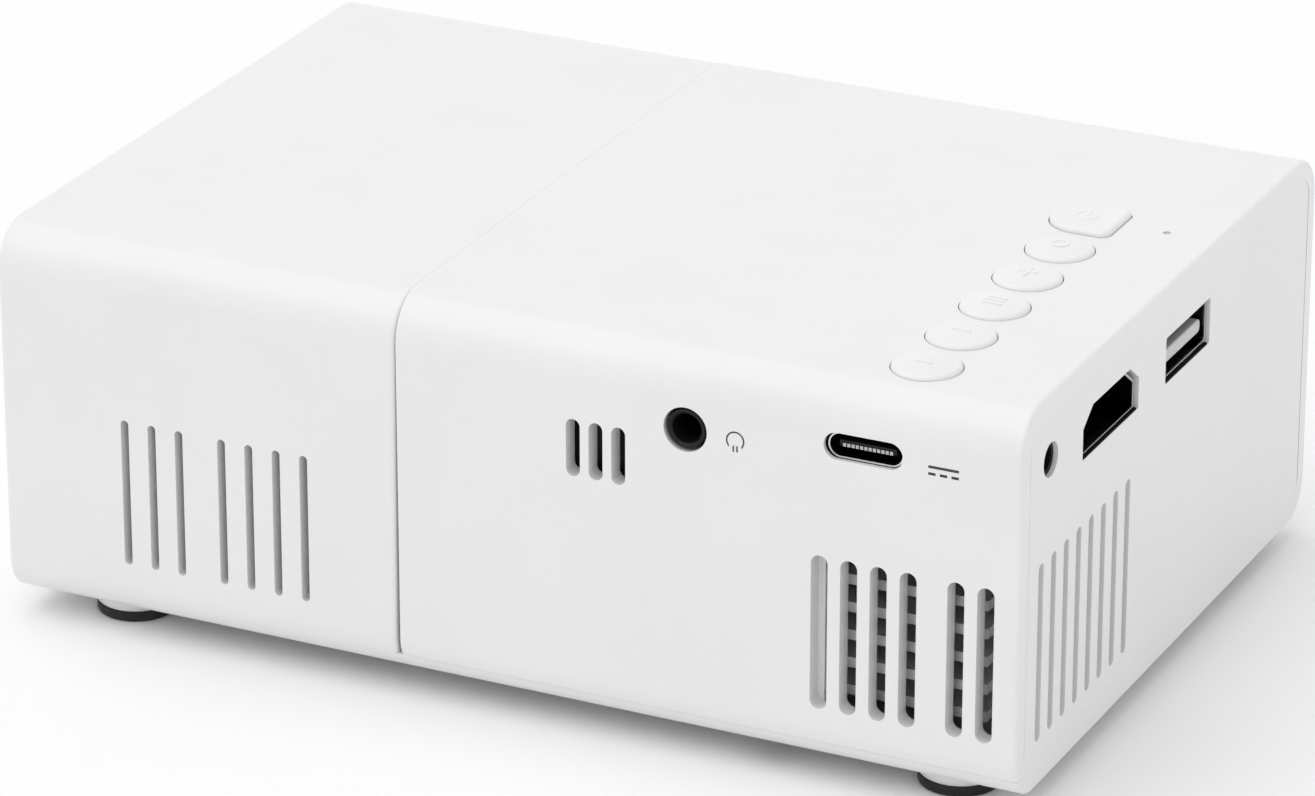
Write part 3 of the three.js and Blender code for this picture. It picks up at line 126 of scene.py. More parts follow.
class Form:
    """A closed shape in millimetres, kept as a bmesh and shaped by its operators."""

    def __init__(self) -> None:
        """Starts an empty form."""
        self.mesh = bmesh.new()

    @classmethod
    def block(cls, low: Spot, high: Spot) -> "Form":
        """A box between two corners.

        Args:
            low: The corner with the least x, y and z.
            high: The corner with the greatest x, y and z.

        Returns:
            The new form.
        """
        form = cls()
        bmesh.ops.create_cube(form.mesh, size=1.0)
        size = Vector(high) - Vector(low)
        bmesh.ops.scale(form.mesh, vec=size, verts=form.mesh.verts)
        bmesh.ops.translate(form.mesh, vec=Vector(low) + size / 2, verts=form.mesh.verts)
        return form

    @classmethod
    def rod(cls, axis: Axis, centre: Point, radius: float, low: float, high: float, steps: int = 64,
            end_radius: float | None = None) -> "Form":
        """A round bar or a cone frustum along an axis.

        Args:
            axis: The axis that it lies along.
            centre: Its centre in the outline's two numbers.
            radius: Its radius at the low end.
            low: Where it starts on the axis.
            high: Where it ends on the axis.
            steps: How many flats its round has.
            end_radius: Its radius at the high end, where that differs.

        Returns:
            The new form.
        """
        form = cls()
        bmesh.ops.create_cone(form.mesh, cap_ends=True, segments=steps, radius1=radius,
                              radius2=radius if end_radius is None else end_radius, depth=high - low)
        bmesh.ops.translate(form.mesh, vec=(*centre, (low + high) / 2), verts=form.mesh.verts)
        return form.turned_to(axis)

    @classmethod
    def prism(cls, axis: Axis, outline: Sequence[Point], low: float, high: float) -> "Form":
        """An outline carried along an axis.

        Args:
            axis: The axis that it is extruded along.
            outline: The corners of the outline, in order.
            low: Where it starts on the axis.
            high: Where it ends on the axis.

        Returns:
            The new form.
        """
        form = cls()
        corners = [form.mesh.verts.new((*corner, low)) for corner in outline]
        face = form.mesh.faces.new(corners)
        grown = bmesh.ops.extrude_face_region(form.mesh, geom=[face], use_keep_orig=True)
        moved = [item for item in grown["geom"] if isinstance(item, bmesh.types.BMVert)]
        bmesh.ops.translate(form.mesh, vec=(0, 0, high - low), verts=moved)
        return form.turned_to(axis)

    @classmethod
    def lathe(cls, axis: Axis, centre: Point, profile: Sequence[Point], steps: int = 64) -> "Form":
        """A profile turned about an axis.

        Args:
            axis: The axis of the turned shape.
            centre: The axis's place in the outline's two numbers.
            profile: Radius and height pairs, from one pole or round the closed section.
            steps: How many steps the full turn has.

        Returns:
            The new form.
        """
        form = cls()
        points = [form.mesh.verts.new((radius, 0, height)) for radius, height in profile]
        loop = points if profile[0][0] == 0 else [*points, points[0]]
        edges = [form.mesh.edges.new(pair) for pair in zip(loop, loop[1:])]
        bmesh.ops.spin(form.mesh, geom=[*points, *edges], cent=(0, 0, 0), axis=(0, 0, 1), dvec=(0, 0, 0),
                       angle=TURN, steps=steps, use_merge=True, use_normal_flip=False, use_duplicate=False)
        bmesh.ops.remove_doubles(form.mesh, verts=form.mesh.verts, dist=TIGHT)
        bmesh.ops.translate(form.mesh, vec=(*centre, 0), verts=form.mesh.verts)
        return form.turned_to(axis)

    @classmethod
    def bar(cls, ends: Point, section: "Section", steps: int = 12) -> "Form":
        """A bar along x with the rounded section of the casing.

        Args:
            ends: Where it starts and ends on x.
            section: The rounded outline that it has.
            steps: How many flats each rounded edge has.

        Returns:
            The new form.
        """
        form = cls.block((ends[0], section.rear, section.low), (ends[1], section.front, section.high))
        for height, radius in ((section.low, section.low_radius), (section.high, section.high_radius)):
            form.round_edges(lambda edge, height=height: all(
                abs(vert.co.z - height) < CLOSE and abs(abs(edge_direction(edge).x) - 1) < CLOSE
                for vert in edge.verts), radius, steps)
        return form

    def turned_to(self, axis: Axis) -> "Form":
        """Turns the shape from z to an axis, with its faces outwards.

        Args:
            axis: The axis that takes the place of z.

        Returns:
            The same form.
        """
        bmesh.ops.transform(self.mesh, matrix=axis.matrix(), verts=self.mesh.verts)
        bmesh.ops.recalc_face_normals(self.mesh, faces=self.mesh.faces)
        return self

    def round_edges(self, chosen: Callable[[bmesh.types.BMEdge], bool], radius: float,
                    steps: int = 4) -> "Form":
        """Rounds the edges that a test picks.

        Args:
            chosen: Says whether an edge is rounded.
            radius: The radius in millimetres.
            steps: How many flats the rounding has.

        Returns:
            The same form.
        """
        edges = [edge for edge in self.mesh.edges if chosen(edge)]
        bmesh.ops.bevel(self.mesh, geom=edges, offset=radius, offset_type="OFFSET", segments=steps,
                        profile=0.5, affect="EDGES", material=-1, clamp_overlap=True)
        return self

    def sliced(self, height: float, keep_above: bool) -> "Form":
        """Cuts the form off at a height and closes the cut.

        Args:
            height: The height of the cut.
            keep_above: Whether the upper part stays.

        Returns:
            The same form.
        """
        everything = [*self.mesh.verts, *self.mesh.edges, *self.mesh.faces]
        cut = bmesh.ops.bisect_plane(self.mesh, geom=everything, dist=TIGHT, plane_co=(0, 0, height),
                                     plane_no=(0, 0, 1), clear_inner=keep_above,
                                     clear_outer=not keep_above)
        rim = [item for item in cut["geom_cut"] if isinstance(item, bmesh.types.BMEdge)]
        bmesh.ops.edgeloop_fill(self.mesh, edges=rim)
        bmesh.ops.recalc_face_normals(self.mesh, faces=self.mesh.faces)
        return self

    def beside(self, *others: "Form") -> "Form":
        """Takes in other forms that don't touch this one.

        Args:
            others: The forms to take in. They are used up.

        Returns:
            The same form.
        """
        for other in others:
            loose = bpy.data.meshes.new("loose")
            other.mesh.to_mesh(loose)
            other.mesh.free()
            self.mesh.from_mesh(loose)
            bpy.data.meshes.remove(loose)
        return self

    def met(self, how: Join, *others: "Form") -> "Form":
        """Cuts, unites or intersects this form with others, one after another.

        Args:
            how: What is done.
            others: The other forms. They are used up.

        Returns:
            The same form.
        """
        base = self.as_object()
        tools = [other.as_object() for other in others]
        for tool in tools:
            step = base.modifiers.new(how.name.lower(), "BOOLEAN")
            step.operation = how.value
            step.object = tool
            step.solver = "EXACT"
        shape = bpy.data.meshes.new_from_object(base.evaluated_get(bpy.context.evaluated_depsgraph_get()))
        self.mesh = bmesh.new()
        self.mesh.from_mesh(shape)
        bpy.data.meshes.remove(shape)
        for used in (base, *tools):
            data = used.data
            bpy.data.objects.remove(used)
            bpy.data.meshes.remove(data)
        return self

    def cut(self, *others: "Form") -> "Form":
        """The same form without the others."""
        return self.met(Join.CUT, *others)

    def united(self, *others: "Form") -> "Form":
        """The same form with the others grown on."""
        return self.met(Join.UNITE, *others)

    def as_object(self) -> bpy.types.Object:
        """Puts the shape into a Blender object and lets go of the bmesh.

        Returns:
            The new object, linked to the scene.
        """
        data = bpy.data.meshes.new("form")
        self.mesh.to_mesh(data)
        self.mesh.free()
        made = bpy.data.objects.new("form", data)
        bpy.context.scene.collection.objects.link(made)
        return made


def edge_direction(edge: bmesh.types.BMEdge) -> Vector:
    """The unit direction of an edge."""
    return (edge.verts[1].co - edge.verts[0].co).normalized()


def is_corner(edge: bmesh.types.BMEdge, least: float = CORNER_ANGLE) -> bool:
    """Whether the two faces at an edge turn by more than the least angle in degrees."""
    return len(edge.link_faces) == 2 and edge.calc_face_angle(0.0) > math.radians(least)


def corner_at(axis: Axis, *places: float) -> Callable[[bmesh.types.BMEdge], bool]:
    """A test for corner edges that lie in a plane across an axis.

    Args:
        axis: The axis that the plane stands across.
        places: Where on the axis the planes lie.

    Returns:
        The test.
    """
    index = "XYZ".index(axis.name)
    return lambda edge: is_corner(edge) and any(
        all(abs(vert.co[index] - place) < CLOSE for vert in edge.verts) for place in places)


def rounded_outline(centre: Point, size: Point, radius: float, steps: int = 8) -> list[Point]:
    """A rectangle with round corners.

    Args:
        centre: Its centre.
        size: Its width and height.
        radius: The radius of its corners.
        steps: How many flats each corner has.

    Returns:
        The outline's corners, in order.
    """
    half = (size[0] / 2 - radius, size[1] / 2 - radius)
    outline = []
    for quarter, (across, up) in enumerate(((1, 1), (-1, 1), (-1, -1), (1, -1))):
        for step in range(steps + 1):
            angle = (quarter + step / steps) * TURN / 4
            outline.append((centre[0] + across * half[0] + radius * math.cos(angle),
                            centre[1] + up * half[1] + radius * math.sin(angle)))
    return outline


def slot_form(axis: Axis, centre: Point, size: Point, low: float, high: float) -> Form:
    """A long hole with round ends, as a solid to cut with.

    Args:
        axis: The axis that the hole goes along.
        centre: Its centre in the outline's two numbers.
        size: Its width and its whole length.
        low: Where it starts on the axis.
        high: Where it ends on the axis.

    Returns:
        The new form.
    """
    return Form.prism(axis, rounded_outline(centre, size, min(size) / 2 - 1e-3, 8), low, high)


def edge_arc(radius: float, height: float, edge: float, steps: int = 5) -> list[Point]:
    """The rounded outer corner of a turned profile, from its side up to its top.

    Args:
        radius: The radius of the turned piece.
        height: The height of its top.
        edge: The radius of the corner.
        steps: How many flats the corner has.

    Returns:
        Radius and height pairs.
    """
    return [(radius - edge + edge * math.cos(TURN / 4 * step / steps),
             height - edge + edge * math.sin(TURN / 4 * step / steps)) for step in range(steps + 1)]


@dataclass(frozen=True)
class Section:
    """The rounded outline of the casing across x, or the same drawn further in."""

    rear: float = -45.48
    front: float = 42.5
    low: float = 2.6
    high: float = 48.6
    low_radius: float = 5.0
    high_radius: float = 5.3

    def inset(self, depth: float, low_depth: float | None = None) -> "Section":
        """The same outline further in.

        Args:
            depth: How far in it lies, in millimetres.
            low_depth: How far in its low side lies, where that differs.

        Returns:
            The new outline.
        """
        return Section(self.rear + depth, self.front - depth,
                       self.low + (depth if low_depth is None else low_depth), self.high - depth,
                       max(self.low_radius - depth, 0.4), max(self.high_radius - depth, 0.4))


BODY_SECTION = Section()
WALL = 2.2
INNER_SECTION = BODY_SECTION.inset(WALL)
TOP = BODY_SECTION.high
TOP_INNER = INNER_SECTION.high


def to_linear(colour: str) -> tuple[float, float, float, float]:
    """Turns an sRGB hex value into linear red, green, blue and alpha.

    Args:
        colour: The colour as six hex digits after a hash sign.

    Returns:
        The linear colour with alpha 1.
    """
    shares = [int(colour[start:start + 2], 16) / 255 for start in (1, 3, 5)]
    return (*(share / 12.92 if share <= 0.04045 else ((share + 0.055) / 1.055) ** 2.4
              for share in shares), 1.0)


def per_metre(size: float) -> float:
    """The texture scale whose features have a size in millimetres."""
    return 1 / (size * MM)


def wave_scale(size: float) -> float:
    """The scale of a wave texture, which has twenty waves to the unit, for a size in millimetres."""
    return per_metre(size) / 20


def add_node(tree: bpy.types.NodeTree, kind: str, settings: dict | None = None,
             links: dict | None = None) -> bpy.types.Node:
    """Adds a node with its settings and links.

    Args:
        tree: The node tree that it joins.
        kind: The node's type.
        settings: Values by input name or number, or by property name.
        links: Sockets to link from, by input name or number.

    Returns:
        The new node.
    """
    node = tree.nodes.new(kind)
    for key, value in (settings or {}).items():
        if isinstance(key, int) or key in node.inputs:
            node.inputs[key].default_value = value
        else:
            setattr(node, key, value)
    for key, source in (links or {}).items():
        tree.links.new(source, node.inputs[key])
    return node


@dataclass(frozen=True)
class Surface:
    """What a finish works on: the material's nodes, its shader and the coordinates of its patterns."""

    tree: bpy.types.NodeTree
    shader: bpy.types.Node
    place: bpy.types.NodeSocket

    def set(self, values: dict[str, float]) -> None:
        """Sets what is the same all over the surface, by the names of the shader's inputs."""
        for name, value in values.items():
            self.shader.inputs[name].default_value = value

    def drive(self, name: str, source: bpy.types.NodeSocket) -> None:
        """Lets a pattern drive one of the shader's inputs."""
        self.tree.links.new(source, self.shader.inputs[name])

    def emboss(self, height: bpy.types.NodeSocket, depth: float) -> None:
        """Gives the surface a relief.

        Args:
            height: The relief, from 0 to 1.
            depth: The depth of the relief in millimetres.
        """
        relief = add_node(self.tree, "ShaderNodeBump", {"Strength": 1.0, "Distance": depth * MM},
                          {"Height": height})
        self.drive("Normal", relief.outputs["Normal"])


@dataclass(frozen=True)
class Finish:
    """A surface as its maker leaves it: its material, its process and what shows of both."""

    name: str
    colour: str
    roughness: float

    def material(self) -> bpy.types.Material:
        """Makes the material, or returns it if it is there already.

        Returns:
            The material with its nodes.
        """
        made = bpy.data.materials.get(self.name)
        if made is not None:
            return made
        made = bpy.data.materials.new(self.name)
        made.use_nodes = True
        tree = made.node_tree
        tree.nodes.clear()
        shader = add_node(tree, "ShaderNodeBsdfPrincipled",
                          {"Base Color": to_linear(self.colour), "Roughness": self.roughness})
        add_node(tree, "ShaderNodeOutputMaterial", links={"Surface": shader.outputs["BSDF"]})
        self.dress(Surface(tree, shader, add_node(tree, "ShaderNodeTexCoord").outputs["Object"]))
        return made

    def dress(self, surface: Surface) -> None:
        """Adds what this finish shows. Each kind of finish has its own."""
        raise NotImplementedError

    def vary(self, surface: Surface, size: float, spread: float, tint: float) -> None:
        """Lets roughness and tone wander a little over the surface.

        Args:
            surface: The surface.
            size: The size of the patches in millimetres.
            spread: How far the roughness goes to each side.
            tint: How much darker the darkest patch is.
        """
        patches = add_node(surface.tree, "ShaderNodeTexNoise",
                           {"Scale": per_metre(size), "Detail": 5.0, "Roughness": 0.6},
                           {"Vector": surface.place}).outputs["Fac"]
        between = {"From Min": 0.3, "From Max": 0.7}
        gloss = add_node(surface.tree, "ShaderNodeMapRange",
                         {**between, "To Min": self.roughness - spread, "To Max": self.roughness + spread},
                         {"Value": patches})
        surface.drive("Roughness", gloss.outputs["Result"])
        share = add_node(surface.tree, "ShaderNodeMapRange", {**between, "To Min": 1.0 - tint, "To Max": 1.0},
                         {"Value": patches})
        tone = add_node(surface.tree, "ShaderNodeVectorMath",
                        {"operation": "SCALE", 0: to_linear(self.colour)[:3]},
                        {"Scale": share.outputs["Result"]})
        surface.drive("Base Color", tone.outputs["Vector"])


@dataclass(frozen=True)
class MouldedPlastic(Finish):
    """Injection-moulded plastic from a steel mould with a fine spark-eroded grain."""

    grain: float = 0.45
    grain_depth: float = 0.004
    ior: float = 1.53
    spread: float = 0.05
    tint: float = 0.03
    shine: float = 0.5
    patch: float = 14.0
    swell: float = 9.0
    swell_share: float = 2.5

    def dress(self, surface: Surface) -> None:
        """Adds the grain, a slow waviness from the mould and faint flow patches.

        Args:
            surface: The surface that is dressed.
        """
        surface.set({"IOR": self.ior, "Specular IOR Level": self.shine})
        self.vary(surface, self.patch, self.spread, self.tint)
        grain = add_node(surface.tree, "ShaderNodeTexNoise",
                         {"Scale": per_metre(self.grain), "Detail": 2.0, "Roughness": 0.55},
                         {"Vector": surface.place}).outputs["Fac"]
        swell = add_node(surface.tree, "ShaderNodeTexNoise", {"Scale": per_metre(self.swell), "Detail": 1.0},
                         {"Vector": surface.place}).outputs["Fac"]
        relief = add_node(surface.tree, "ShaderNodeMath", {"operation": "MULTIPLY_ADD", 1: self.swell_share},
                          {0: swell, 2: grain})
        surface.emboss(relief.outputs["Value"], self.grain_depth)


@dataclass(frozen=True)
class MouldedRubber(Finish):
    """Moulded synthetic rubber: matt, close to black, with a dry speckle and a little dust."""

    grain: float = 0.35
    grain_depth: float = 0.02
    sheen: float = 0.15
    shine: float = 0.5
    ior: float = 1.52
    patch: float = 3.0

    def dress(self, surface: Surface) -> None:
        """Adds the dry speckle, the relief and a soft sheen.

        Args:
            surface: The surface that is dressed.
        """
        surface.set({"IOR": self.ior, "Specular IOR Level": self.shine, "Sheen Weight": self.sheen,
                     "Sheen Roughness": 0.4})
        self.vary(surface, self.patch, spread=0.06, tint=0.35)
        speckle = add_node(surface.tree, "ShaderNodeTexVoronoi", {"Scale": per_metre(self.grain)},
                           {"Vector": surface.place}).outputs["Distance"]
        surface.emboss(speckle, self.grain_depth)


@dataclass(frozen=True)
class DrawnMetal(Finish):
    """Stamped, drawn or extruded metal with fine lines from the tool along one axis."""

    along: Axis = Axis.X
    line: float = 0.12
    line_depth: float = 0.002
    line_stretch: float = 25.0
    patch: float = 4.0
    spread: float = 0.08
    # Where painted shade starts inside a socket shell: deeper in, the metal's colour is darkened
    painted_shade_from: float | None = None
    shade_fade: float = 0.25

    def paint_shade_inside(self, surface: Surface) -> None:
        """Paints shade on the metal away from the mouth: darker deeper in, where the mouth's light gives out,
        and its own colour at the rim.
        """
        spot = add_node(surface.tree, "ShaderNodeSeparateXYZ", links={"Vector": surface.place})
        rim = self.painted_shade_from * MM
        inwards = math.copysign(self.shade_fade * MM, -self.painted_shade_from)
        share = add_node(surface.tree, "ShaderNodeMapRange",
                         {"From Min": rim + inwards, "From Max": rim, "To Min": 0.1, "To Max": 1.0},
                         {"Value": spot.outputs[self.along.name]})
        bright = surface.shader.inputs["Base Color"].links[0].from_socket
        tone = add_node(surface.tree, "ShaderNodeVectorMath", {"operation": "SCALE"},
                        {0: bright, "Scale": share.outputs["Result"]})
        surface.drive("Base Color", tone.outputs["Vector"])

    def dress(self, surface: Surface) -> None:
        """Adds the tool lines, stretched along their axis.

        Args:
            surface: The surface that is dressed.
        """
        surface.set({"Metallic": 1.0})
        self.vary(surface, self.patch, self.spread, tint=0.12)
        # Painted shade inside the shell, darker away from its mouth
        if self.painted_shade_from is not None:
            self.paint_shade_inside(surface)
        stretch = [1.0, 1.0, 1.0]
        stretch["XYZ".index(self.along.name)] = 1 / self.line_stretch
        drawn = add_node(surface.tree, "ShaderNodeMapping", {"Scale": stretch}, {"Vector": surface.place})
        lines = add_node(surface.tree, "ShaderNodeTexNoise", {"Scale": per_metre(self.line), "Detail": 2.0},
                         {"Vector": drawn.outputs["Vector"]}).outputs["Fac"]
        surface.emboss(lines, self.line_depth)


@dataclass(frozen=True)
class TurnedMetal(Finish):
    """Metal from the lathe: fine rings about an upright axis."""

    centre: Point = (0.0, 0.0)
    ring: float = 0.25
    ring_depth: float = 0.003
    patch: float = 2.5

    def dress(self, surface: Surface) -> None:
        """Adds the rings of the tool and some tarnish.

        Args:
            surface: The surface that is dressed.
        """
        surface.set({"Metallic": 1.0})
        self.vary(surface, self.patch, spread=0.08, tint=0.25)
        centred = add_node(surface.tree, "ShaderNodeMapping",
                           {"vector_type": "POINT",
                            "Location": (-self.centre[0] * MM, -self.centre[1] * MM, 0)},
                           {"Vector": surface.place})
        rings = add_node(surface.tree, "ShaderNodeTexWave",
                         {"wave_type": "RINGS", "rings_direction": "Z", "Scale": wave_scale(self.ring),
                          "Distortion": 0.3}, {"Vector": centred.outputs["Vector"]}).outputs["Fac"]
        surface.emboss(rings, self.ring_depth)


@dataclass(frozen=True)
class ClearPart(Finish):
    """A polished clear part, of glass or clear plastic, with a thin coating where it has one."""

    ior: float = 1.52
    coating: float = 0.0
    coating_ior: float = 1.38
    dust: float = 0.8

    def dress(self, surface: Surface) -> None:
        """Lets the light through, and adds the coating and a trace of dust.

        Args:
            surface: The surface that is dressed.
        """
        surface.set({"IOR": self.ior, "Transmission Weight": 1.0, "Thin Film Thickness": self.coating,
                     "Thin Film IOR": self.coating_ior})
        dust = add_node(surface.tree, "ShaderNodeTexNoise", {"Scale": per_metre(self.dust), "Detail": 6.0},
                        {"Vector": surface.place}).outputs["Fac"]
        haze = add_node(surface.tree, "ShaderNodeMapRange",
                        {"From Min": 0.55, "From Max": 0.8, "To Min": self.roughness,
                         "To Max": self.roughness + 0.06}, {"Value": dust})
        surface.drive("Roughness", haze.outputs["Result"])


@dataclass(frozen=True)
class SilveredGlass(Finish):
    """A front-silvered mirror: smooth, with hardly any haze."""

    patch: float = 6.0

    def dress(self, surface: Surface) -> None:
        """Adds the metal layer and a trace of haze.

        Args:
            surface: The surface that is dressed.
        """
        surface.set({"Metallic": 1.0})
        self.vary(surface, self.patch, spread=0.015, tint=0.02)


@dataclass(frozen=True)
class SolderMask(Finish):
    """Green solder mask over copper: raised tracks, darker bare laminate between them."""

    track: float = 0.9
    lacquer: tuple[str, str] = ("#1c6b42", "#175a38")
    gap: str = "#2f8a5a"
    relief: float = 0.03

    def dress(self, surface: Surface) -> None:
        """Adds tracks at right angles under a glossy lacquer.

        Args:
            surface: The surface that is dressed.
        """
        surface.set({"Coat Weight": 0.4, "Coat Roughness": 0.12})
        tracks = add_node(surface.tree, "ShaderNodeTexBrick",
                          {"Scale": per_metre(self.track) / 4, "Mortar Size": 0.03, "Mortar Smooth": 0.2,
                           "Color1": to_linear(self.lacquer[0]), "Color2": to_linear(self.lacquer[1]),
                           "Mortar": to_linear(self.gap)}, {"Vector": surface.place})
        surface.drive("Base Color", tracks.outputs["Color"])
        surface.emboss(tracks.outputs["Fac"], self.relief)


@dataclass(frozen=True)
class StripedFilm(Finish):
    """Flexible film with etched copper tracks along it."""

    track: float = 0.8
    copper: str = "#b8702e"
    ior: float = 1.6
    relief: float = 0.012

    def dress(self, surface: Surface) -> None:
        """Adds copper stripes that show through the film.

        Args:
            surface: The surface that is dressed.
        """
        surface.set({"IOR": self.ior, "Coat Weight": 0.5, "Coat Roughness": 0.15})
        stripes = add_node(surface.tree, "ShaderNodeTexWave",
                           {"wave_type": "BANDS", "bands_direction": "Y", "Scale": wave_scale(self.track),
                            "Distortion": 0.0}, {"Vector": surface.place}).outputs["Fac"]
        edge = add_node(surface.tree, "ShaderNodeMapRange", {"From Min": 0.45, "From Max": 0.55},
                        {"Value": stripes}).outputs["Result"]
        tone = add_node(surface.tree, "ShaderNodeMix",
                        {"data_type": "RGBA", 6: to_linear(self.colour), 7: to_linear(self.copper)},
                        {0: edge})
        surface.drive("Base Color", tone.outputs[2])
        surface.emboss(edge, self.relief)


@dataclass(frozen=True)
class PrintedInk(Finish):
    """Pad-printed ink: a thin matt layer with a slightly uneven body."""

    ior: float = 1.5
    patch: float = 0.5
    grain: float = 0.15
    relief: float = 0.002

    def dress(self, surface: Surface) -> None:
        """Adds the uneven body and a faint relief.

        Args:
            surface: The surface that is dressed.
        """
        surface.set({"IOR": self.ior})
        self.vary(surface, self.patch, spread=0.08, tint=0.3)
        body = add_node(surface.tree, "ShaderNodeTexNoise", {"Scale": per_metre(self.grain)},
                        {"Vector": surface.place}).outputs["Fac"]
        surface.emboss(body, self.relief)


# ABS with a satin mould surface: white, softly glossy, its grain only seen close to
CASE = MouldedPlastic("ABS moulded satin white", "#ececec", 0.34)
# The same plastic from another mould, a shade duller
TRAY = MouldedPlastic("ABS moulded tray white", "#ebebeb", 0.38)
# Button caps from a polished mould: glossier than the cover
CAP = MouldedPlastic("ABS polished cap white", "#ededed", 0.26, grain=0.6, grain_depth=0.002)
# Rubber feet: matt and nearly black, with a dry speckle
RUBBER = MouldedRubber("Rubber moulded black", "#1d1d1e", 0.78)
# Glass-filled plastic in the sockets and frames: dark, half matt
BLACK = MouldedPlastic("PBT moulded black", "#151516", 0.5, grain=0.3, grain_depth=0.006, tint=0.12,
                       shine=0.25)
# Black rubber in the gaps round the socket shells, put there as painted shade: the darkest surface on the
# object
GAP_SHADE = MouldedRubber("Rubber black as painted gap shade", "#0c0c0d", 0.85, grain=0.2, sheen=0.0, shine=0.1)
# The grip ring: fine matt grain that doesn't shine between the fingers
RING = MouldedPlastic("ABS moulded ring black", "#161617", 0.46, grain=0.35, grain_depth=0.006, tint=0.1)
# The light tongue in the larger socket: pale, waxy, without shine
GREY = MouldedPlastic("LCP moulded pale grey", "#c9c9cb", 0.45, grain=0.3, tint=0.06)
# Nickel on stamped steel: slightly warm, with painted shade darkening it inside, away from the mouth
NICKEL = DrawnMetal("Nickel plated stamped steel", "#b4b3b0", 0.28, along=Axis.X, painted_shade_from=62.54)
# The drawn shell of the small socket: a brighter plating with the same painted shade inside
NICKEL_SHORT = DrawnMetal("Nickel plated drawn steel", "#e2e1dd", 0.24, along=Axis.Y, painted_shade_from=-44.7)
# Tin on the small contacts: pale, greyer than gold, half matt
TIN = DrawnMetal("Tin plated contact", "#c4c4c2", 0.5, along=Axis.Y, line=0.1)
# Zinc on screws and the speaker's magnet: bluish grey, duller than nickel
ZINC = DrawnMetal("Zinc plated screw steel", "#b9bcc0", 0.34, along=Axis.Z, line=0.2)
# Gold flash on the contacts: warm yellow and smooth
GOLD = DrawnMetal("Gold flashed contact", "#e3b866", 0.22, along=Axis.X, line=0.1)
# Turned brass of the tripod nut: fine rings, a little tarnished
BRASS = TurnedMetal("Brass turned nut", "#c8a45c", 0.3, centre=(0.0, 10.5))
# Extruded aluminium fins with a natural finish: soft grey with lines along the fin
ALUMINIUM = DrawnMetal("Aluminium extruded natural", "#e2e4e7", 0.55, along=Axis.Y, line=0.3,
                       line_depth=0.004)
# Circuit boards: dark green under gloss, their tracks drawn wider than real ones so that they show
BOARD = SolderMask("Laminate with green solder mask", "#1c6b42", 0.4)
# The button strip: straw-coloured film with pale metal lines
DOMES = StripedFilm("Polyester film over metal domes", "#d9d2b4", 0.35, copper="#c9c6bd", track=1.6)
# The panel's ribbon: amber film, copper shining through
FILM = StripedFilm("Polyimide film with copper tracks", "#b5722a", 0.32)
# Light emitters: yellow phosphor under glossy resin
LAMP = MouldedPlastic("Phosphor under clear resin", "#e8d45a", 0.25, grain=0.4, tint=0.15)
# Sheaths of the leads: smooth soft black
SHEATH = MouldedPlastic("PVC drawn sheath black", "#242424", 0.5, grain=0.5, tint=0.15)
# Moulded sheet lenses: clear with a slight haze
CLEAR = ClearPart("Acrylic moulded sheet lens", "#f2f2f2", 0.08, ior=1.49)
# The light guide: milky grey, seen as a dot in the top
FROSTED = MouldedPlastic("Acrylic moulded frosted light guide", "#d6d6d6", 0.4, grain=0.2)
# Ground lenses: very clear, with the faint colour of their coating
LENS_GLASS = ClearPart("Optical glass polished and coated", "#f4f8f6", 0.01, ior=1.52, coating=125.0)
# The picture panel: smoky clear glass
PANEL_GLASS = ClearPart("Liquid crystal panel glass", "#8a9092", 0.06, ior=1.52)
# The mirror: a clean, cool reflection
MIRROR = SilveredGlass("Glass silvered in front", "#e9ecee", 0.03)
# The two signs: dark grey, matt, slightly uneven
INK = PrintedInk("Ink pad printed dark grey", "#3a3a3c", 0.55)


@dataclass(frozen=True)
class Softening:
    """How a piece's corners are broken: the radius in millimetres and the flats in it."""

    radius: float = 0.12
    steps: int = 2
    least_angle: float = CORNER_ANGLE
    is_crisp: Callable[[Vector], bool] = lambda spot: False

    def weigh(self, mesh: bmesh.types.BMesh) -> None:
        """Marks the corners to break, and spares those whose two ends are crisp.

        Args:
            mesh: The piece's mesh in millimetres.
        """
        weight = mesh.edges.layers.float.new("bevel_weight_edge")
        for edge in mesh.edges:
            crisp = all(self.is_crisp(vert.co) for vert in edge.verts)
            edge[weight] = float(is_corner(edge, self.least_angle) and not crisp)


def finish_piece(form: Form, name: str, finish: Finish, body: Body,
                 stands_for: Iterable[str] = (), soft: Softening | None = Softening()) -> bpy.types.Object:
    """Turns a form into a finished piece of the object.

    Args:
        form: The shape in millimetres. It is used up.
        name: The piece's name.
        finish: Its finish.
        body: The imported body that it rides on.
        stands_for: The CAD nodes that it replaces.
        soft: How its corners are broken, or None to leave them.

    Returns:
        The finished object.
    """
    bmesh.ops.remove_doubles(form.mesh, verts=form.mesh.verts, dist=CLOSE)
    if soft is not None:
        soft.weigh(form.mesh)
    bmesh.ops.scale(form.mesh, vec=(MM, MM, MM), verts=form.mesh.verts)
    piece = form.as_object()
    piece.name = piece.data.name = name
    piece.data.materials.clear()
    piece.data.materials.append(finish.material())
    piece.data.shade_smooth()
    piece.data.set_sharp_from_angle(angle=math.radians(SMOOTH_ANGLE))
    if soft is not None:
        breaking = piece.modifiers.new("broken corners", "BEVEL")
        breaking.width = soft.radius * MM
        breaking.segments = soft.steps
        breaking.limit_method = "WEIGHT"
        breaking.harden_normals = True
        breaking.miter_outer = "MITER_ARC"
    weighing = piece.modifiers.new("even shading", "WEIGHTED_NORMAL")
    weighing.keep_sharp = True
    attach(piece, body.value)
    nodes = list(stands_for)
    if nodes:
        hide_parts(*nodes)
    log.info("%s: %d faces, rides on %s, stands for %s", name, len(piece.data.polygons), body.value,
             ", ".join(nodes) or "nothing")
    return piece


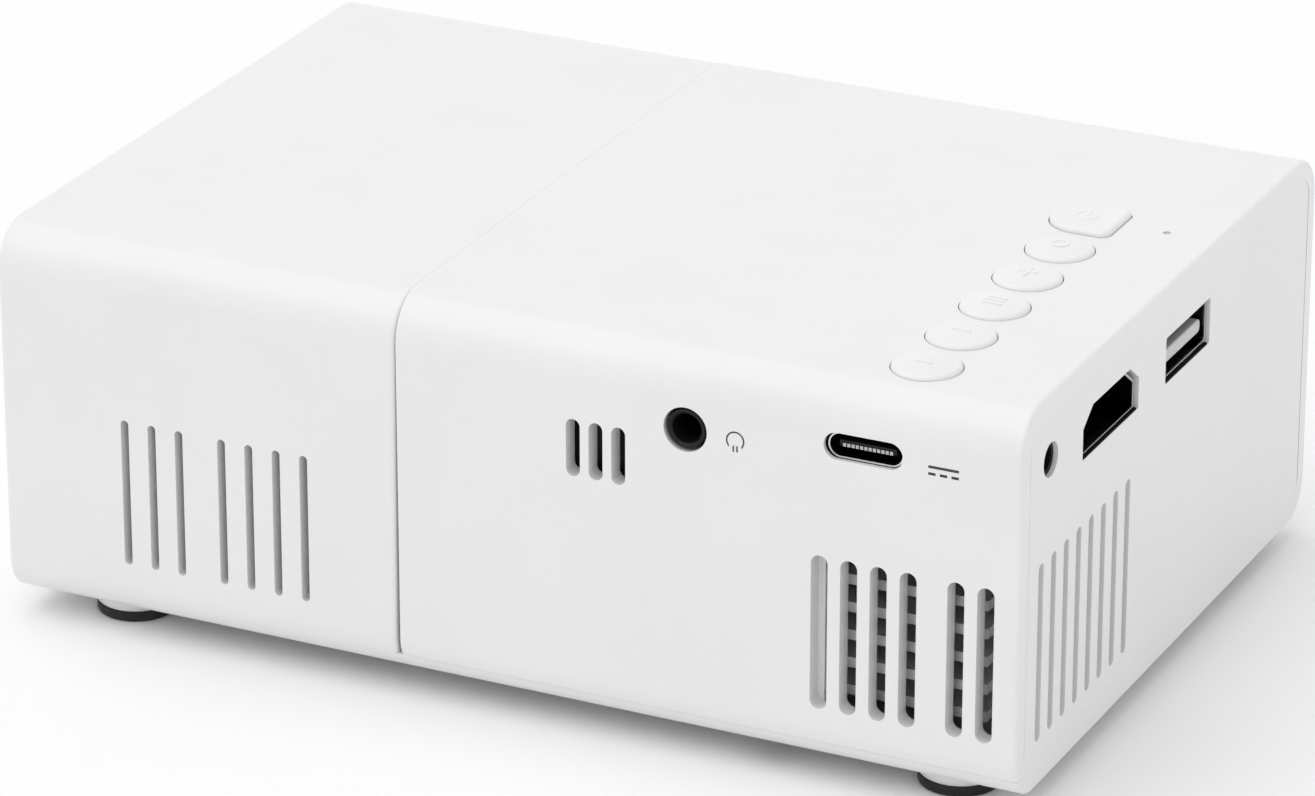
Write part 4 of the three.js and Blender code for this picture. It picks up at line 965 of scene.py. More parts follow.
@dataclass(frozen=True)
class SlotRow:
    """A row of upright slots with round ends, in one or more groups."""

    first: float
    middle: float
    width: float
    length: float
    counts: tuple[int, ...]
    pitch: float = 3.5
    group_step: float = 0.0

    def cutters(self, axis: Axis, span: Point) -> list[Form]:
        """The solids that cut the slots.

        Args:
            axis: The axis that the slots go along.
            span: Where the solids start and end on it.

        Returns:
            One solid for each slot.
        """
        return [slot_form(axis, (self.first + group * self.group_step + self.pitch * number, self.middle),
                          (self.width, self.length), *span)
                for group, count in enumerate(self.counts) for number in range(count)]


@dataclass(frozen=True)
class Post:
    """A screw post that hangs under the top, with a pilot hole from below."""

    radius: float
    foot: float
    hole_depth: float
    hole_radius: float = 0.85

    def forms(self, spots: Iterable[Point]) -> tuple[Form, Form]:
        """Posts at some places.

        Args:
            spots: The places.

        Returns:
            The posts as one form, and the holes in them as one form.
        """
        places = list(spots)
        posts = [Form.rod(Axis.Z, spot, self.radius, self.foot, TOP_INNER + WALL / 2, 32) for spot in places]
        hole_ends = (self.foot - OVERRUN, self.foot + self.hole_depth)
        holes = [Form.rod(Axis.Z, spot, self.hole_radius, *hole_ends, 24) for spot in places]
        return Form().beside(*posts), Form().beside(*holes)


@dataclass
class Casing:
    """The two covers and the tray with its end walls, all moulded."""

    lens_end: float = -63.0
    port_end: float = 63.0
    seam: float = -12.4
    seam_width: float = 0.4
    cover_low: float = 5.5
    tray_edge: float = 5.47
    rim: float = 0.5
    rim_lift: float = 0.75
    seam_closing: float = 0.35
    lens_cover_step: float = 0.12
    # The end walls, and the blocks of the tray that end the gaps beside them
    end_wall_gap: Point = (0.16, 0.0)
    end_wall_set: float = 0.015
    end_wall_foot: float = 1.4
    end_wall_low_radius: float = 1.2
    end_wall_rim: float = 0.25
    end_wall_rim_stop: float = 1.2
    top_join_band: float = 2.2
    gap_foot_low: Spot = (0.12, 0.02, 4.8)
    gap_foot_high: Spot = (1.6, 0.6, 7.2)
    # The screw towers of the tray and the posts of the covers: radius first, then heights
    tray_rim: float = 0.35
    tower_top: float = 10.8
    tower_radius: float = 3.3
    tower_reach: float = 61.0
    screw_way: Point = (2.05, 5.6)
    screw_shaft: Point = (1.15, 1.0)
    cover_post: Post = Post(2.6, 10.8, 5.0)
    board_post: Post = Post(2.2, 44.0, 1.8)
    # Air slots and the three short ones for sound, and the bare wall behind the first slot
    warm_air: SlotRow = SlotRow(39.5, 18.9, 2.0, 18.4, (4, 2), group_step=16.1)
    cool_air: SlotRow = SlotRow(-47.0, 18.75, 1.0, 17.9, (3, 4), group_step=12.5)
    end_air: SlotRow = SlotRow(-39.55, 18.73, 1.4, 21.2, (8,), pitch=3.54)
    sound: SlotRow = SlotRow(9.8, 35.2, 1.7, 6.8, (3,), pitch=2.76)
    rib: tuple[Spot, Spot] = ((37.3, -43.4, 9.7), (39.3, -42.4, 28.1))
    rib_groove: tuple[Spot, Spot] = ((38.4, -43.5, 9.0), (39.6, -43.3, 29.0))
    # Openings for the controls, the sockets and the lens
    button_x: float = 48.13
    button_first_y: float = -36.99
    button_pitch: float = 9.3
    button_hole: float = 4.05
    light_centre: Point = (57.0, 10.3)
    light_hole: float = 0.45
    headphone_hole: float = 2.6
    charge_hole: tuple[Point, Point] = ((44.5, 41.35), (9.3, 3.14))
    power_gap: float = 0.12
    lens_centre: Point = (-38.0, 23.4)
    lens_hole: float = 15.9
    bezel: Point = (0.9, 0.5)
    # What stands or hangs where
    screw_places: tuple[Point, ...] = ((-57.8, -25.5), (-57.8, 12.5), (32.2, -39.8), (57.8, 28.0))
    board_places: tuple[Point, ...] = ((7.0, 11.5), (40.0, 12.5))
    foot_places: tuple[Point, ...] = ((-51.3, -36.5), (52.7, -36.5), (-51.3, 33.5), (52.7, 33.5))
    foot_boss: tuple[Point, ...] = ((0, 1.3), (4.5, 1.3), (4.7, 1.5), (5.25, 2.6), (5.25, 3.7), (0, 3.7))
    nut_centre: Point = (0.0, 10.5)
    nut_seat: Point = (6.5, 10.3)
    nut_bore: Point = (4.9, 9.35)

    def cover(self, ends: Point, section: Section) -> Form:
        """The outside of a cover with its rims rounded, hollowed from below.

        Args:
            ends: Where the cover starts and ends on x.
            section: Its outer outline.

        Returns:
            The open shell.
        """
        shell = Form.bar(ends, section).round_edges(corner_at(Axis.X, *ends), self.rim, 5)
        shell.sliced(self.cover_low, keep_above=True)
        hollow = Form.bar((ends[0] - OVERRUN, ends[1] + OVERRUN), INNER_SECTION)
        return shell.cut(hollow)

    def shallow_rim(self, shell: Form, rim_x: float, section: Section) -> None:
        """Makes the rounded rim at the seam shallower towards the top, where the seam hardly shows.

        Args:
            shell: The cover's shell.
            rim_x: Where the rim lies on x.
            section: The cover's outer outline.
        """
        radius = section.high_radius
        for vert in shell.mesh.verts:
            if abs(vert.co.x - rim_x) > self.rim + 1e-3 or vert.co.z <= section.high - radius:
                continue
            side = min(max(vert.co.y, section.rear + radius), section.front - radius)
            arm = Vector((0, vert.co.y - side, vert.co.z - section.high + radius))
            depth = radius - arm.length
            if 0 < depth < self.rim + 1e-3:
                share = (arm.z / arm.length) ** 2
                vert.co += arm.normalized() * depth * self.rim_lift * share

    def close_seam(self, shell: Form) -> None:
        """Leans the lens cover's rim and sides: the seam closes upwards, and the foot meets the tray flush.

        Args:
            shell: The lens cover's shell.
        """
        for vert in shell.mesh.verts:
            share = min(1.0, max(0.0, (vert.co.z - self.cover_low) / (TOP - self.cover_low)))
            if vert.co.x > self.seam - 2:
                vert.co.x += self.seam_closing * share ** 1.5
            vert.co.y += math.copysign(self.lens_cover_step * (1 - share), vert.co.y)

    def rear_span(self) -> Point:
        """Where a solid that cuts through the rear wall starts and ends on y."""
        return BODY_SECTION.rear - OVERRUN, INNER_SECTION.rear + OVERRUN

    def main_cover(self) -> Form:
        """The longer cover, with the openings for buttons, sound, sockets and air.

        Returns:
            The finished form.
        """
        start = self.seam + self.seam_width / 2
        shell = self.cover((start, self.port_end), BODY_SECTION)
        self.shallow_rim(shell, start, BODY_SECTION)
        posts, holes = self.cover_post.forms(spot for spot in self.screw_places if spot[0] > self.seam)
        board_posts, board_holes = self.board_post.forms(self.board_places)
        rear = self.rear_span()
        top = (TOP_INNER - OVERRUN, TOP + OVERRUN)
        buttons = [Form.rod(Axis.Z, (self.button_x, self.button_first_y + self.button_pitch * number),
                            self.button_hole, *top) for number in range(len(RoundButtons.bodies))]
        light = Form.rod(Axis.Z, self.light_centre, self.light_hole, *top, steps=32)
        headphones = Form.rod(Axis.Y, Sockets.headphone_jack.centre, self.headphone_hole, *rear)
        openings = Form().beside(
            *self.warm_air.cutters(Axis.Y, rear), *self.sound.cutters(Axis.Y, rear), *buttons, light,
            headphones, slot_form(Axis.Y, *self.charge_hole, *rear),
            Form.prism(Axis.Z, PowerButton().outline(self.power_gap), *top))
        rib = Form.block(*self.rib).cut(Form.block(*self.rib_groove))
        return shell.united(posts.beside(board_posts)).cut(holes.beside(board_holes), openings).united(rib)

    def lens_cover(self) -> Form:
        """The shorter cover, with the lens opening and the air slots on its rear.

        Returns:
            The finished form.
        """
        end, section = self.seam - self.seam_width / 2, BODY_SECTION.inset(self.lens_cover_step, 0.0)
        shell = self.cover((self.lens_end, end), section)
        self.shallow_rim(shell, end, section)
        self.close_seam(shell)
        posts, holes = self.cover_post.forms(spot for spot in self.screw_places if spot[0] < self.seam)
        face = BODY_SECTION.front - self.lens_cover_step / 2
        bezel_width, bezel_depth = self.bezel
        return shell.united(posts).cut(
            holes.beside(*self.cool_air.cutters(Axis.Y, self.rear_span())),
            Form.rod(Axis.Y, self.lens_centre, self.lens_hole, INNER_SECTION.front - OVERRUN,
                     BODY_SECTION.front + OVERRUN, 128),
            Form.rod(Axis.Y, self.lens_centre, self.lens_hole, face - bezel_depth, face + bezel_depth, 128,
                     self.lens_hole + 2 * bezel_width))

    def end_wall(self, outer: float, inner: float) -> Form:
        """One end wall with its outer rim rounded.

        Args:
            outer: The x of its outside.
            inner: The x of its inside.

        Returns:
            The wall.
        """
        ends = (min(outer, inner), max(outer, inner))
        beside, above = (WALL + gap for gap in self.end_wall_gap)
        outline = Section(BODY_SECTION.rear + beside, BODY_SECTION.front - beside,
                          BODY_SECTION.low + self.end_wall_foot, BODY_SECTION.high - above,
                          self.end_wall_low_radius, BODY_SECTION.high_radius - beside)
        at_rim = corner_at(Axis.X, outer)
        top_join = TOP_INNER - self.end_wall_rim_stop
        return Form.bar(ends, outline).round_edges(
            lambda edge: at_rim(edge) and min(vert.co.z for vert in edge.verts) < top_join,
            self.end_wall_rim, 4)

    def gap_foot(self, end: float, side: float) -> Form:
        """The block of the tray that ends the gap between an end wall and a cover.

        Args:
            end: The x of the end wall's outside.
            side: The y of the cover's inner face.

        Returns:
            The block.
        """
        corners = [(end - math.copysign(depth, end), side - math.copysign(reach, side), height)
                   for depth, reach, height in (self.gap_foot_low, self.gap_foot_high)]
        low, high = (tuple(pick(values) for values in zip(*corners)) for pick in (min, max))
        return Form.block(low, high)

    def port_openings(self) -> list[Form]:
        """The openings in the short end with the large sockets.

        Returns:
            The solids to cut with.
        """
        through = (self.port_end - WALL - OVERRUN, self.port_end + OVERRUN)
        sockets = Sockets()
        return [*self.end_air.cutters(Axis.X, through),
                Form.rod(Axis.X, sockets.video_jack.centre, sockets.video_jack_hole, *through),
                Form.prism(Axis.X, sockets.video_outline(0.0), *through),
                Form.prism(Axis.X, sockets.data_outline(-sockets.data_gap), *through)]

    def tray(self) -> Form:
        """The tray with both end walls, the foot bosses, the screw towers and the nut's seat.

        Returns:
            The finished form.
        """
        ends = (self.lens_end, self.port_end)
        tray = Form.bar(ends, BODY_SECTION).round_edges(corner_at(Axis.X, *ends), self.tray_rim, 4)
        tray.sliced(self.tray_edge, keep_above=False)
        tray.cut(Form.bar((ends[0] + WALL, ends[1] - WALL), INNER_SECTION))
        foot = INNER_SECTION.low - WALL / 2
        towers = [Form.rod(Axis.Z, spot, self.tower_radius, foot, self.tower_top, 32)
                  for spot in self.screw_places]
        for tower in towers:
            tower.met(Join.KEEP_SHARED, Form.bar((-self.tower_reach, self.tower_reach),
                                                 BODY_SECTION.inset(WALL + 0.3, 1.0)))
        bosses = [Form.lathe(Axis.Z, spot, self.foot_boss, 64) for spot in self.foot_places]
        seat = Form.rod(Axis.Z, self.nut_centre, self.nut_seat[0], foot, self.nut_seat[1], 48)
        gap_feet = [self.gap_foot(end, side) for end in ends
                    for side in (INNER_SECTION.rear, INNER_SECTION.front)]
        ways = [Form.rod(Axis.Z, spot, self.screw_way[0], 0.0, self.screw_way[1], 48)
                for spot in self.screw_places]
        shafts = [Form.rod(Axis.Z, spot, *self.screw_shaft, self.tower_top + OVERRUN, 24)
                  for spot in self.screw_places]
        walls = [self.end_wall(end - math.copysign(self.end_wall_set, end), end - math.copysign(WALL, end))
                 for end in ends]
        return tray.united(*walls, Form().beside(*towers, *bosses, seat), Form().beside(*gap_feet)).cut(
            Form().beside(*ways), Form().beside(*shafts),
            Form.rod(Axis.Z, self.nut_centre, self.nut_bore[0], 0.0, self.nut_bore[1], 48),
            Form().beside(*self.port_openings()))

    def is_cover_join(self, spot: Vector) -> bool:
        """Whether a point of a cover lies where it meets the tray or an end wall's top."""
        at_end = abs(spot.x) > self.port_end - 0.01
        return abs(spot.z - self.cover_low) < 1e-3 or (
            at_end and TOP_INNER - self.top_join_band < spot.z < TOP - 0.6)

    def is_tray_join(self, spot: Vector) -> bool:
        """Whether a point of the tray lies where it meets a cover, or at the foot of a gap.

        Args:
            spot: The point.

        Returns:
            Whether it lies there.
        """
        near_side = min(abs(spot.y - side) for side in (INNER_SECTION.rear, INNER_SECTION.front)) < 0.8
        at_foot = near_side and abs(spot.x) > self.port_end - 2 and (
            self.tray_edge - 1 < spot.z < self.gap_foot_high[2] + 0.1)
        return at_foot or abs(spot.z - self.tray_edge) < 1e-3 or spot.z > TOP_INNER - self.top_join_band

    def build(self) -> None:
        """Builds the three mouldings."""
        cover_edges = Softening(0.16, 3, is_crisp=self.is_cover_join)
        finish_piece(self.main_cover(), "cover_main", CASE, Body.CASING, ["main_cover"],
                     cover_edges)
        finish_piece(self.lens_cover(), "cover_lens", CASE, Body.CASING, ["lens_cover"],
                     cover_edges)
        finish_piece(self.tray(), "tray", TRAY, Body.CASING, ["bottom_shell"],
                     Softening(0.14, 2, is_crisp=self.is_tray_join))


@dataclass
class Underside:
    """What the casing stands on and is held by: feet, screws and the tripod nut."""

    pad_radius: float = 4.7
    pad_height: float = 1.3
    head_radius: float = 1.9
    head_low: float = 4.2
    head_height: float = 1.4
    head_edge: float = 0.5
    screw_tip: float = 15.8
    shaft: float = 0.8
    ridge: float = 0.18
    ridge_pitch: float = 0.5
    drive_width: float = 0.55
    drive_depth: float = 0.6
    drive_length: float = 2.1
    nut_ends: Point = (2.6, 9.2)
    nut_radius: float = 4.75
    nut_edge: float = 0.15
    nut_mouth: float = 3.55
    thread: Point = (3.6, 3.2)
    thread_pitch: float = 1.27

    def pad(self, spot: Point) -> Form:
        """A round rubber pad with a soft edge and a shallow ring underneath.

        Args:
            spot: Its centre.

        Returns:
            The finished form.
        """
        profile = [(0, 0.1), (2.2, 0.1), (2.5, 0.0), (self.pad_radius - 0.35, 0.0),
                   (self.pad_radius - 0.1, 0.1), (self.pad_radius, 0.35), (self.pad_radius, 1.15),
                   (self.pad_radius - 0.15, self.pad_height), (0, self.pad_height)]
        return Form.lathe(Axis.Z, spot, profile, 64)

    def screw(self, spot: Point) -> Form:
        """A pan-head screw with a cross drive below and a ridged shaft above.

        Args:
            spot: Its place.

        Returns:
            The finished form.
        """
        head, tip, radius = self.head_low, self.screw_tip, self.head_radius
        seat = head + self.head_height
        half_pitch = self.ridge_pitch / 2
        turns = int((tip - seat) / self.ridge_pitch)
        ridges = [(self.shaft + self.ridge * (number % 2), seat + (half_pitch + half_pitch * number))
                  for number in range(2 * turns - 2)]
        profile = [(0, head), (radius - self.head_edge, head), (radius - 0.1, head + 0.25),
                   (radius, head + 0.6), (radius, seat), (self.shaft, seat), *ridges, (0.5, tip), (0, tip)]
        body = Form.lathe(Axis.Z, spot, profile, 32)
        arms = [Form.block((spot[0] - long / 2, spot[1] - wide / 2, head - OVERRUN),
                           (spot[0] + long / 2, spot[1] + wide / 2, head + self.drive_depth))
                for long, wide in ((self.drive_length, self.drive_width),
                                   (self.drive_width, self.drive_length))]
        return body.cut(*arms)

    def nut(self) -> Form:
        """The brass nut with broken corners outside and rings for its thread.

        Returns:
            The finished form.
        """
        low, high = self.nut_ends
        groove, crest = self.thread
        inside = []
        for number in range(int((high - low) / self.thread_pitch)):
            start = high - 0.1 - number * self.thread_pitch
            inside += [(groove, start), (crest, start - self.thread_pitch / 2)]
        edge = self.nut_edge
        profile = [(self.nut_mouth, high), *inside, (self.nut_mouth, low), (self.nut_radius - edge, low),
                   (self.nut_radius, low + edge), (self.nut_radius, high - edge),
                   (self.nut_radius - edge, high)]
        return Form.lathe(Axis.Z, Casing.nut_centre, profile, 96)

    def build(self) -> None:
        """Builds the feet, the screws and the nut."""
        names = ("rear_left", "rear_right", "front_left", "front_right")
        for name, spot in zip(names, Casing.foot_places):
            finish_piece(self.pad(spot), f"pad_{name}", RUBBER, Body.CASING, [f"foot_{name}"],
                         None)
        names = ("rear_left", "front_left", "rear_right", "front_right")
        for name, spot in zip(names, Casing.screw_places):
            finish_piece(self.screw(spot), f"case_screw_{name}", ZINC, Body.CASING,
                         [f"screw_{name}"], None)
        finish_piece(self.nut(), "nut_tripod", BRASS, Body.CASING, ["tripod_nut"], None)


@dataclass(frozen=True)
class KeyFoot:
    """What every button has under the top: the flange that holds it in and the stem that meets its dome."""

    stem_radius: float = 1.2
    stem_low: float = 45.15
    flange_low: float = 45.7
    flange_high: float = 46.3


@dataclass
class RoundButtons:
    """The five round buttons in a row, each with a faintly raised generic sign."""

    radius: float = 3.95
    top: float = 49.5
    edge: float = 0.6
    crown: float = 0.36
    flange_radius: float = 4.37
    sign_height: float = 0.05
    sign_depth: float = 0.4
    foot: KeyFoot = KeyFoot()
    bodies: tuple[Body, ...] = (Body.SOURCE, Body.MINUS, Body.MENU, Body.PLUS, Body.OK)

    def cap(self, spot: Point) -> Form:
        """A turned cap with its flange and stem, its top slightly crowned.

        Args:
            spot: The centre of the button.

        Returns:
            The cap.
        """
        face = self.top - self.sign_height
        rim = face - self.crown
        crown = [(share * (self.radius - self.edge), rim + self.crown * (1 - share * share))
                 for share in (0.85, 0.65, 0.4, 0.2)]
        foot = self.foot
        profile = [(0, foot.stem_low), (foot.stem_radius, foot.stem_low), (foot.stem_radius, foot.flange_low),
                   (self.flange_radius, foot.flange_low), (self.flange_radius, foot.flange_high),
                   (self.radius, foot.flange_high), *edge_arc(self.radius, rim, self.edge, 6), *crown,
                   (0, face)]
        reach = self.radius + OVERRUN
        room = Form.bar((spot[0] - reach, spot[0] + reach), BODY_SECTION.inset(WALL + 0.1)).united(
            Form.rod(Axis.Z, spot, self.radius + 0.01, foot.flange_low + 0.1, self.top + OVERRUN))
        return Form.lathe(Axis.Z, spot, profile, 72).met(Join.KEEP_SHARED, room)

    def sign(self, number: int, spot: Point) -> list[Form]:
        """The raised sign of one button.

        Args:
            number: Which button it is, from the rear.
            spot: The centre of the button.

        Returns:
            The strokes of the sign.
        """
        x, y = spot
        low, high = self.top - self.sign_depth, self.top

        def stroke(across: float, along: float, width: float, length: float) -> Form:
            """A stroke of the sign, about a point across and along from the button's centre."""
            return Form.block((x + across - width / 2, y + along - length / 2, low),
                              (x + across + width / 2, y + along + length / 2, high))

        signs = (
            lambda: [Form.prism(Axis.Z, [(x - 1.0, y - 0.8), (x + 1.0, y - 0.8), (x, y + 0.9)], low, high)],
            lambda: [stroke(0, 0, 2.2, 0.45)],
            lambda: [stroke(0, along, 2.2, 0.36) for along in (-0.85, 0, 0.85)],
            lambda: [stroke(0, 0, 2.2, 0.45), stroke(0, 0.7, 0.45, 0.95), stroke(0, -0.7, 0.45, 0.95)],
            lambda: [Form.rod(Axis.Z, spot, 1.1, low, high, 40).cut(
                Form.rod(Axis.Z, spot, 0.7, low - OVERRUN, high + OVERRUN, 40))],
        )
        return signs[number]()

    def build(self) -> None:
        """Builds the five buttons."""
        for number, body in enumerate(self.bodies):
            spot = (Casing.button_x, Casing.button_first_y + Casing.button_pitch * number)
            name = body.value.removesuffix("_button")
            cap = self.cap(spot).united(*self.sign(number, spot))
            finish_piece(cap, f"cap_{name}", CAP, body, [f"button_{name}"],
                         Softening(0.04, 2))


@dataclass
class PowerButton:
    """The D-shaped power button: straight towards the short end, half round behind."""

    centre: Point = (47.43, 9.75)
    side: float = 8.4
    corner: float = 1.3
    top: float = 49.3
    edge: float = 0.6
    shell_low: float = 46.0
    flange_reach: float = 0.42
    sign_height: float = 0.05
    sign_depth: float = 0.4
    ring: Point = (1.35, 0.98)
    foot: KeyFoot = KeyFoot()

    def outline(self, grow: float) -> list[Point]:
        """The D, grown or shrunk by a distance.

        Args:
            grow: The distance in millimetres.

        Returns:
            The outline's corners.
        """
        x, y = self.centre
        half, corner = self.side / 2 + grow, self.corner + grow
        outline = []
        for low_angle, centre, radius in ((-90, (x + half - corner, y - half + corner), corner),
                                          (0, (x + half - corner, y + half - corner), corner)):
            outline += [(centre[0] + radius * math.cos(math.radians(low_angle + 9 * step)),
                         centre[1] + radius * math.sin(math.radians(low_angle + 9 * step)))
                        for step in range(11)]
        outline += [(x + half * math.cos(math.radians(90 + 5 * step)),
                     y + half * math.sin(math.radians(90 + 5 * step))) for step in range(37)]
        return outline

    def build(self) -> None:
        """Builds the cap with its flange, stem and the raised sign for power."""
        face = self.top - self.sign_height
        x, y = self.centre
        foot = self.foot
        cap = Form.prism(Axis.Z, self.outline(0.0), self.shell_low, face)
        cap.round_edges(corner_at(Axis.Z, face), self.edge, 6)
        flange = Form.prism(Axis.Z, self.outline(self.flange_reach), foot.flange_low, foot.flange_high)
        stem = Form.rod(Axis.Z, self.centre, foot.stem_radius, foot.stem_low, self.shell_low, 32)
        low = self.top - self.sign_depth
        outer, inner = self.ring
        ring = Form.rod(Axis.Z, self.centre, outer, low, self.top, 48).cut(
            Form.rod(Axis.Z, self.centre, inner, low - OVERRUN, self.top + OVERRUN, 48),
            Form.block((x - 0.5, y, low - OVERRUN), (x + 0.5, y + 2.0, self.top + OVERRUN)))
        bar = Form.block((x - 0.2, y + 0.1, low), (x + 0.2, y + 1.5, self.top))
        finish_piece(cap.united(flange, stem, ring, bar), "cap_power", CAP, Body.POWER,
                     ["button_power"], Softening(0.04, 2))


@dataclass(frozen=True)
class Tongue:
    """A socket's tongue, and the block behind it that it grows from."""

    half_width: float
    half_height: float
    tip: float
    block_inset: float
    block_face: float


@dataclass(frozen=True)
class ContactRow:
    """A row of contact strips on a tongue, measured from the socket's centre."""

    along: Axis
    first: float
    pitch: float
    count: int
    width: float
    ends: Point
    heights: Point

    def strips(self, centre: Point) -> Form:
        """The strips at their place.

        Args:
            centre: The socket's centre, across and up.

        Returns:
            The strips as one form.
        """
        across, up = centre
        strips = []
        for number in range(self.count):
            middle = across + self.first + self.pitch * number
            sides = (middle - self.width / 2, middle + self.width / 2)
            corners = [(end, side) if self.along is Axis.X else (side, end)
                       for end, side in zip(self.ends, sides)]
            strips.append(Form.block(*((*corner, up + height)
                                       for corner, height in zip(corners, self.heights))))
        return Form().beside(*strips)


@dataclass(frozen=True)
class Jack:
    """A round jack: a moulded body with a nose that stands in the casing's hole."""

    axis: Axis
    centre: Point
    node: str
    nose_start: float
    mouth: float
    nose_radius: float
    bore_radius: float
    bore_floor: float = 0.8
    nose_edge: float = 0.2
    cone_depth: float = 0.3

    def form(self) -> Form:
        """The jack, its body as large as the box of the CAD node that it replaces.

        Returns:
            The jack.
        """
        corners = [list(Vector(corner) / MM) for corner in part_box(self.node)]
        towards = 1 if self.mouth > self.nose_start else -1
        index = "XYZ".index(self.axis.name)
        front, rear = (1, 0) if towards > 0 else (0, 1)
        corners[front][index] = self.nose_start
        body = Form.block(tuple(corners[0]), tuple(corners[1]))
        depth = abs(self.mouth - corners[rear][index]) - self.bore_floor
        neck = Form.rod(self.axis, self.centre, self.nose_radius,
                        *sorted((self.nose_start - towards * 0.5, self.mouth)), steps=64)
        neck.round_edges(corner_at(self.axis, self.mouth), self.nose_edge, 3)
        bore = Form.rod(self.axis, self.centre, self.bore_radius,
                        *sorted((self.mouth + towards, self.mouth - towards * depth)))
        lead_in = [self.bore_radius - 0.05, self.bore_radius + self.cone_depth][::towards]
        cone = Form.rod(self.axis, self.centre, lead_in[0],
                        *sorted((self.mouth - towards * self.cone_depth, self.mouth + towards * 0.05)),
                        end_radius=lead_in[1])
        return body.united(neck).cut(bore, cone)


@dataclass
class Sockets:
    """The sockets in the short end and the rear: shells, tongues and round jacks."""

    shell_wall: float = 0.3
    shell_ends: Point = (51.8, 62.6)
    video_centre: Point = (-20.45, 39.85)
    video_hole: Point = (16.1, 5.7)
    video_cut: Point = (2.7, 2.0)
    video_shell_set: float = 0.5
    video_tongue: Tongue = Tongue(5.7, 0.75, 60.6, 0.9, 59.0)
    video_contacts: tuple[ContactRow, ...] = (
        ContactRow(Axis.X, -4.5, 1.0, 10, 0.45, (58.8, 60.2), (0.7, 0.79)),
        ContactRow(Axis.X, -4.0, 1.0, 9, 0.45, (58.8, 60.2), (-0.79, -0.7)))
    data_centre: Point = (2.35, 39.5)
    data_shell: Point = (12.9, 5.1)
    data_gap: float = 0.25
    data_tongue: Tongue = Tongue(5.4, 0.8, 62.3, 0.35, 54.0)
    data_tongue_low: float = 0.2
    data_contacts: ContactRow = ContactRow(Axis.X, -3.5, 2.33, 4, 1.0, (53.5, 61.4), (-1.06, -0.96))
    charge_centre: Point = (44.6, 41.35)
    charge_shell: Point = (8.9, 3.0)
    charge_wall: float = 0.2
    charge_ends: Point = (-44.9, -37.5)
    charge_tongue: Tongue = Tongue(3.35, 0.35, -44.3, 0.35, -40.5)
    charge_contacts: ContactRow = ContactRow(Axis.Y, -2.75, 0.5, 12, 0.36, (-44.4, -40.4), (-0.36, 0.04))
    # Dark pieces in the gaps round the shells, which paint the shade there
    charge_gap_shade: float = 0.42
    charge_gap_shade_ends: Point = (-44.95, -43.25)
    gap_shade_ends: Point = (60.9, 62.93)
    gap_shade_heights: Point = (0.01, 0.24)
    video_gap_shade: Point = (-7.9, 7.6)
    data_gap_shade: Point = (-6.5, 6.2)
    video_jack: Jack = Jack(Axis.X, (-37.6, 40.8), "av_jack", 60.5, 62.58, 1.9, 1.6)
    video_jack_hole: float = 2.0
    headphone_jack: Jack = Jack(Axis.Y, (23.4, 39.9), "headphone_jack", -43.0, -45.3, 2.3, 1.75)

    def video_outline(self, inset: float) -> list[Point]:
        """The six-sided outline of the wide socket, narrower at its top.

        Args:
            inset: How far inside the opening it lies.

        Returns:
            The outline's corners.
        """
        y, z = self.video_centre
        half, top = self.video_hole[0] / 2 - inset, self.video_hole[1] / 2 - inset / 2
        across, up = self.video_cut
        return [(y - half, z - top), (y + half, z - top), (y + half, z + top - up),
                (y + half - across, z + top), (y - half + across, z + top), (y - half, z + top - up)]

    def data_outline(self, inset: float) -> list[Point]:
        """The outline of the data socket's shell, further in or out."""
        size = (self.data_shell[0] - 2 * inset, self.data_shell[1] - 2 * inset)
        return rounded_outline(self.data_centre, size, 0.35, 3)

    def charge_outline(self, inset: float) -> list[Point]:
        """The outline of the charging socket's shell, further in."""
        size = (self.charge_shell[0] - 2 * inset, self.charge_shell[1] - 2 * inset)
        return rounded_outline(self.charge_centre, size, size[1] / 2 - 1e-3, 10)

    def sheet_shell(self, axis: Axis, outline: Callable[[float], list[Point]], mouth: float, back: float,
                    start: float, wall: float) -> Form:
        """A shell folded from sheet metal, open at its mouth.

        Args:
            axis: The axis that it lies along.
            outline: Gives its outline at a depth from its outside.
            mouth: Where it is open.
            back: Where it is closed.
            start: The inset of its outside.
            wall: The thickness of its sheet.

        Returns:
            The shell.
        """
        towards = 1 if mouth > back else -1
        outside = Form.prism(axis, outline(start), *sorted((mouth, back)))
        inside = Form.prism(axis, outline(start + wall),
                            *sorted((mouth + towards * OVERRUN, back + towards * wall)))
        return outside.cut(inside)

    def build_end(self) -> None:
        """Builds the sockets in the short end."""
        back, mouth = self.shell_ends
        root = back + self.shell_wall
        shell = self.sheet_shell(Axis.X, self.video_outline, mouth, back, self.video_shell_set,
                                 self.shell_wall)
        finish_piece(shell, "socket_wide_shell", NICKEL, Body.CASING, ["video_shell"],
                     Softening(0.08, 2))
        y, z = self.video_centre
        plan = self.video_tongue
        tongue = Form.block((root, y - plan.half_width, z - plan.half_height),
                            (plan.tip, y + plan.half_width, z + plan.half_height)).united(
            Form.prism(Axis.X, self.video_outline(plan.block_inset), root, plan.block_face))
        finish_piece(tongue, "socket_wide_tongue", BLACK, Body.CASING, ["video_tongue"],
                     Softening(0.2, 2))
        strips = Form().beside(*(row.strips(self.video_centre) for row in self.video_contacts))
        finish_piece(strips, "socket_wide_contacts", GOLD, Body.CASING, (), None)

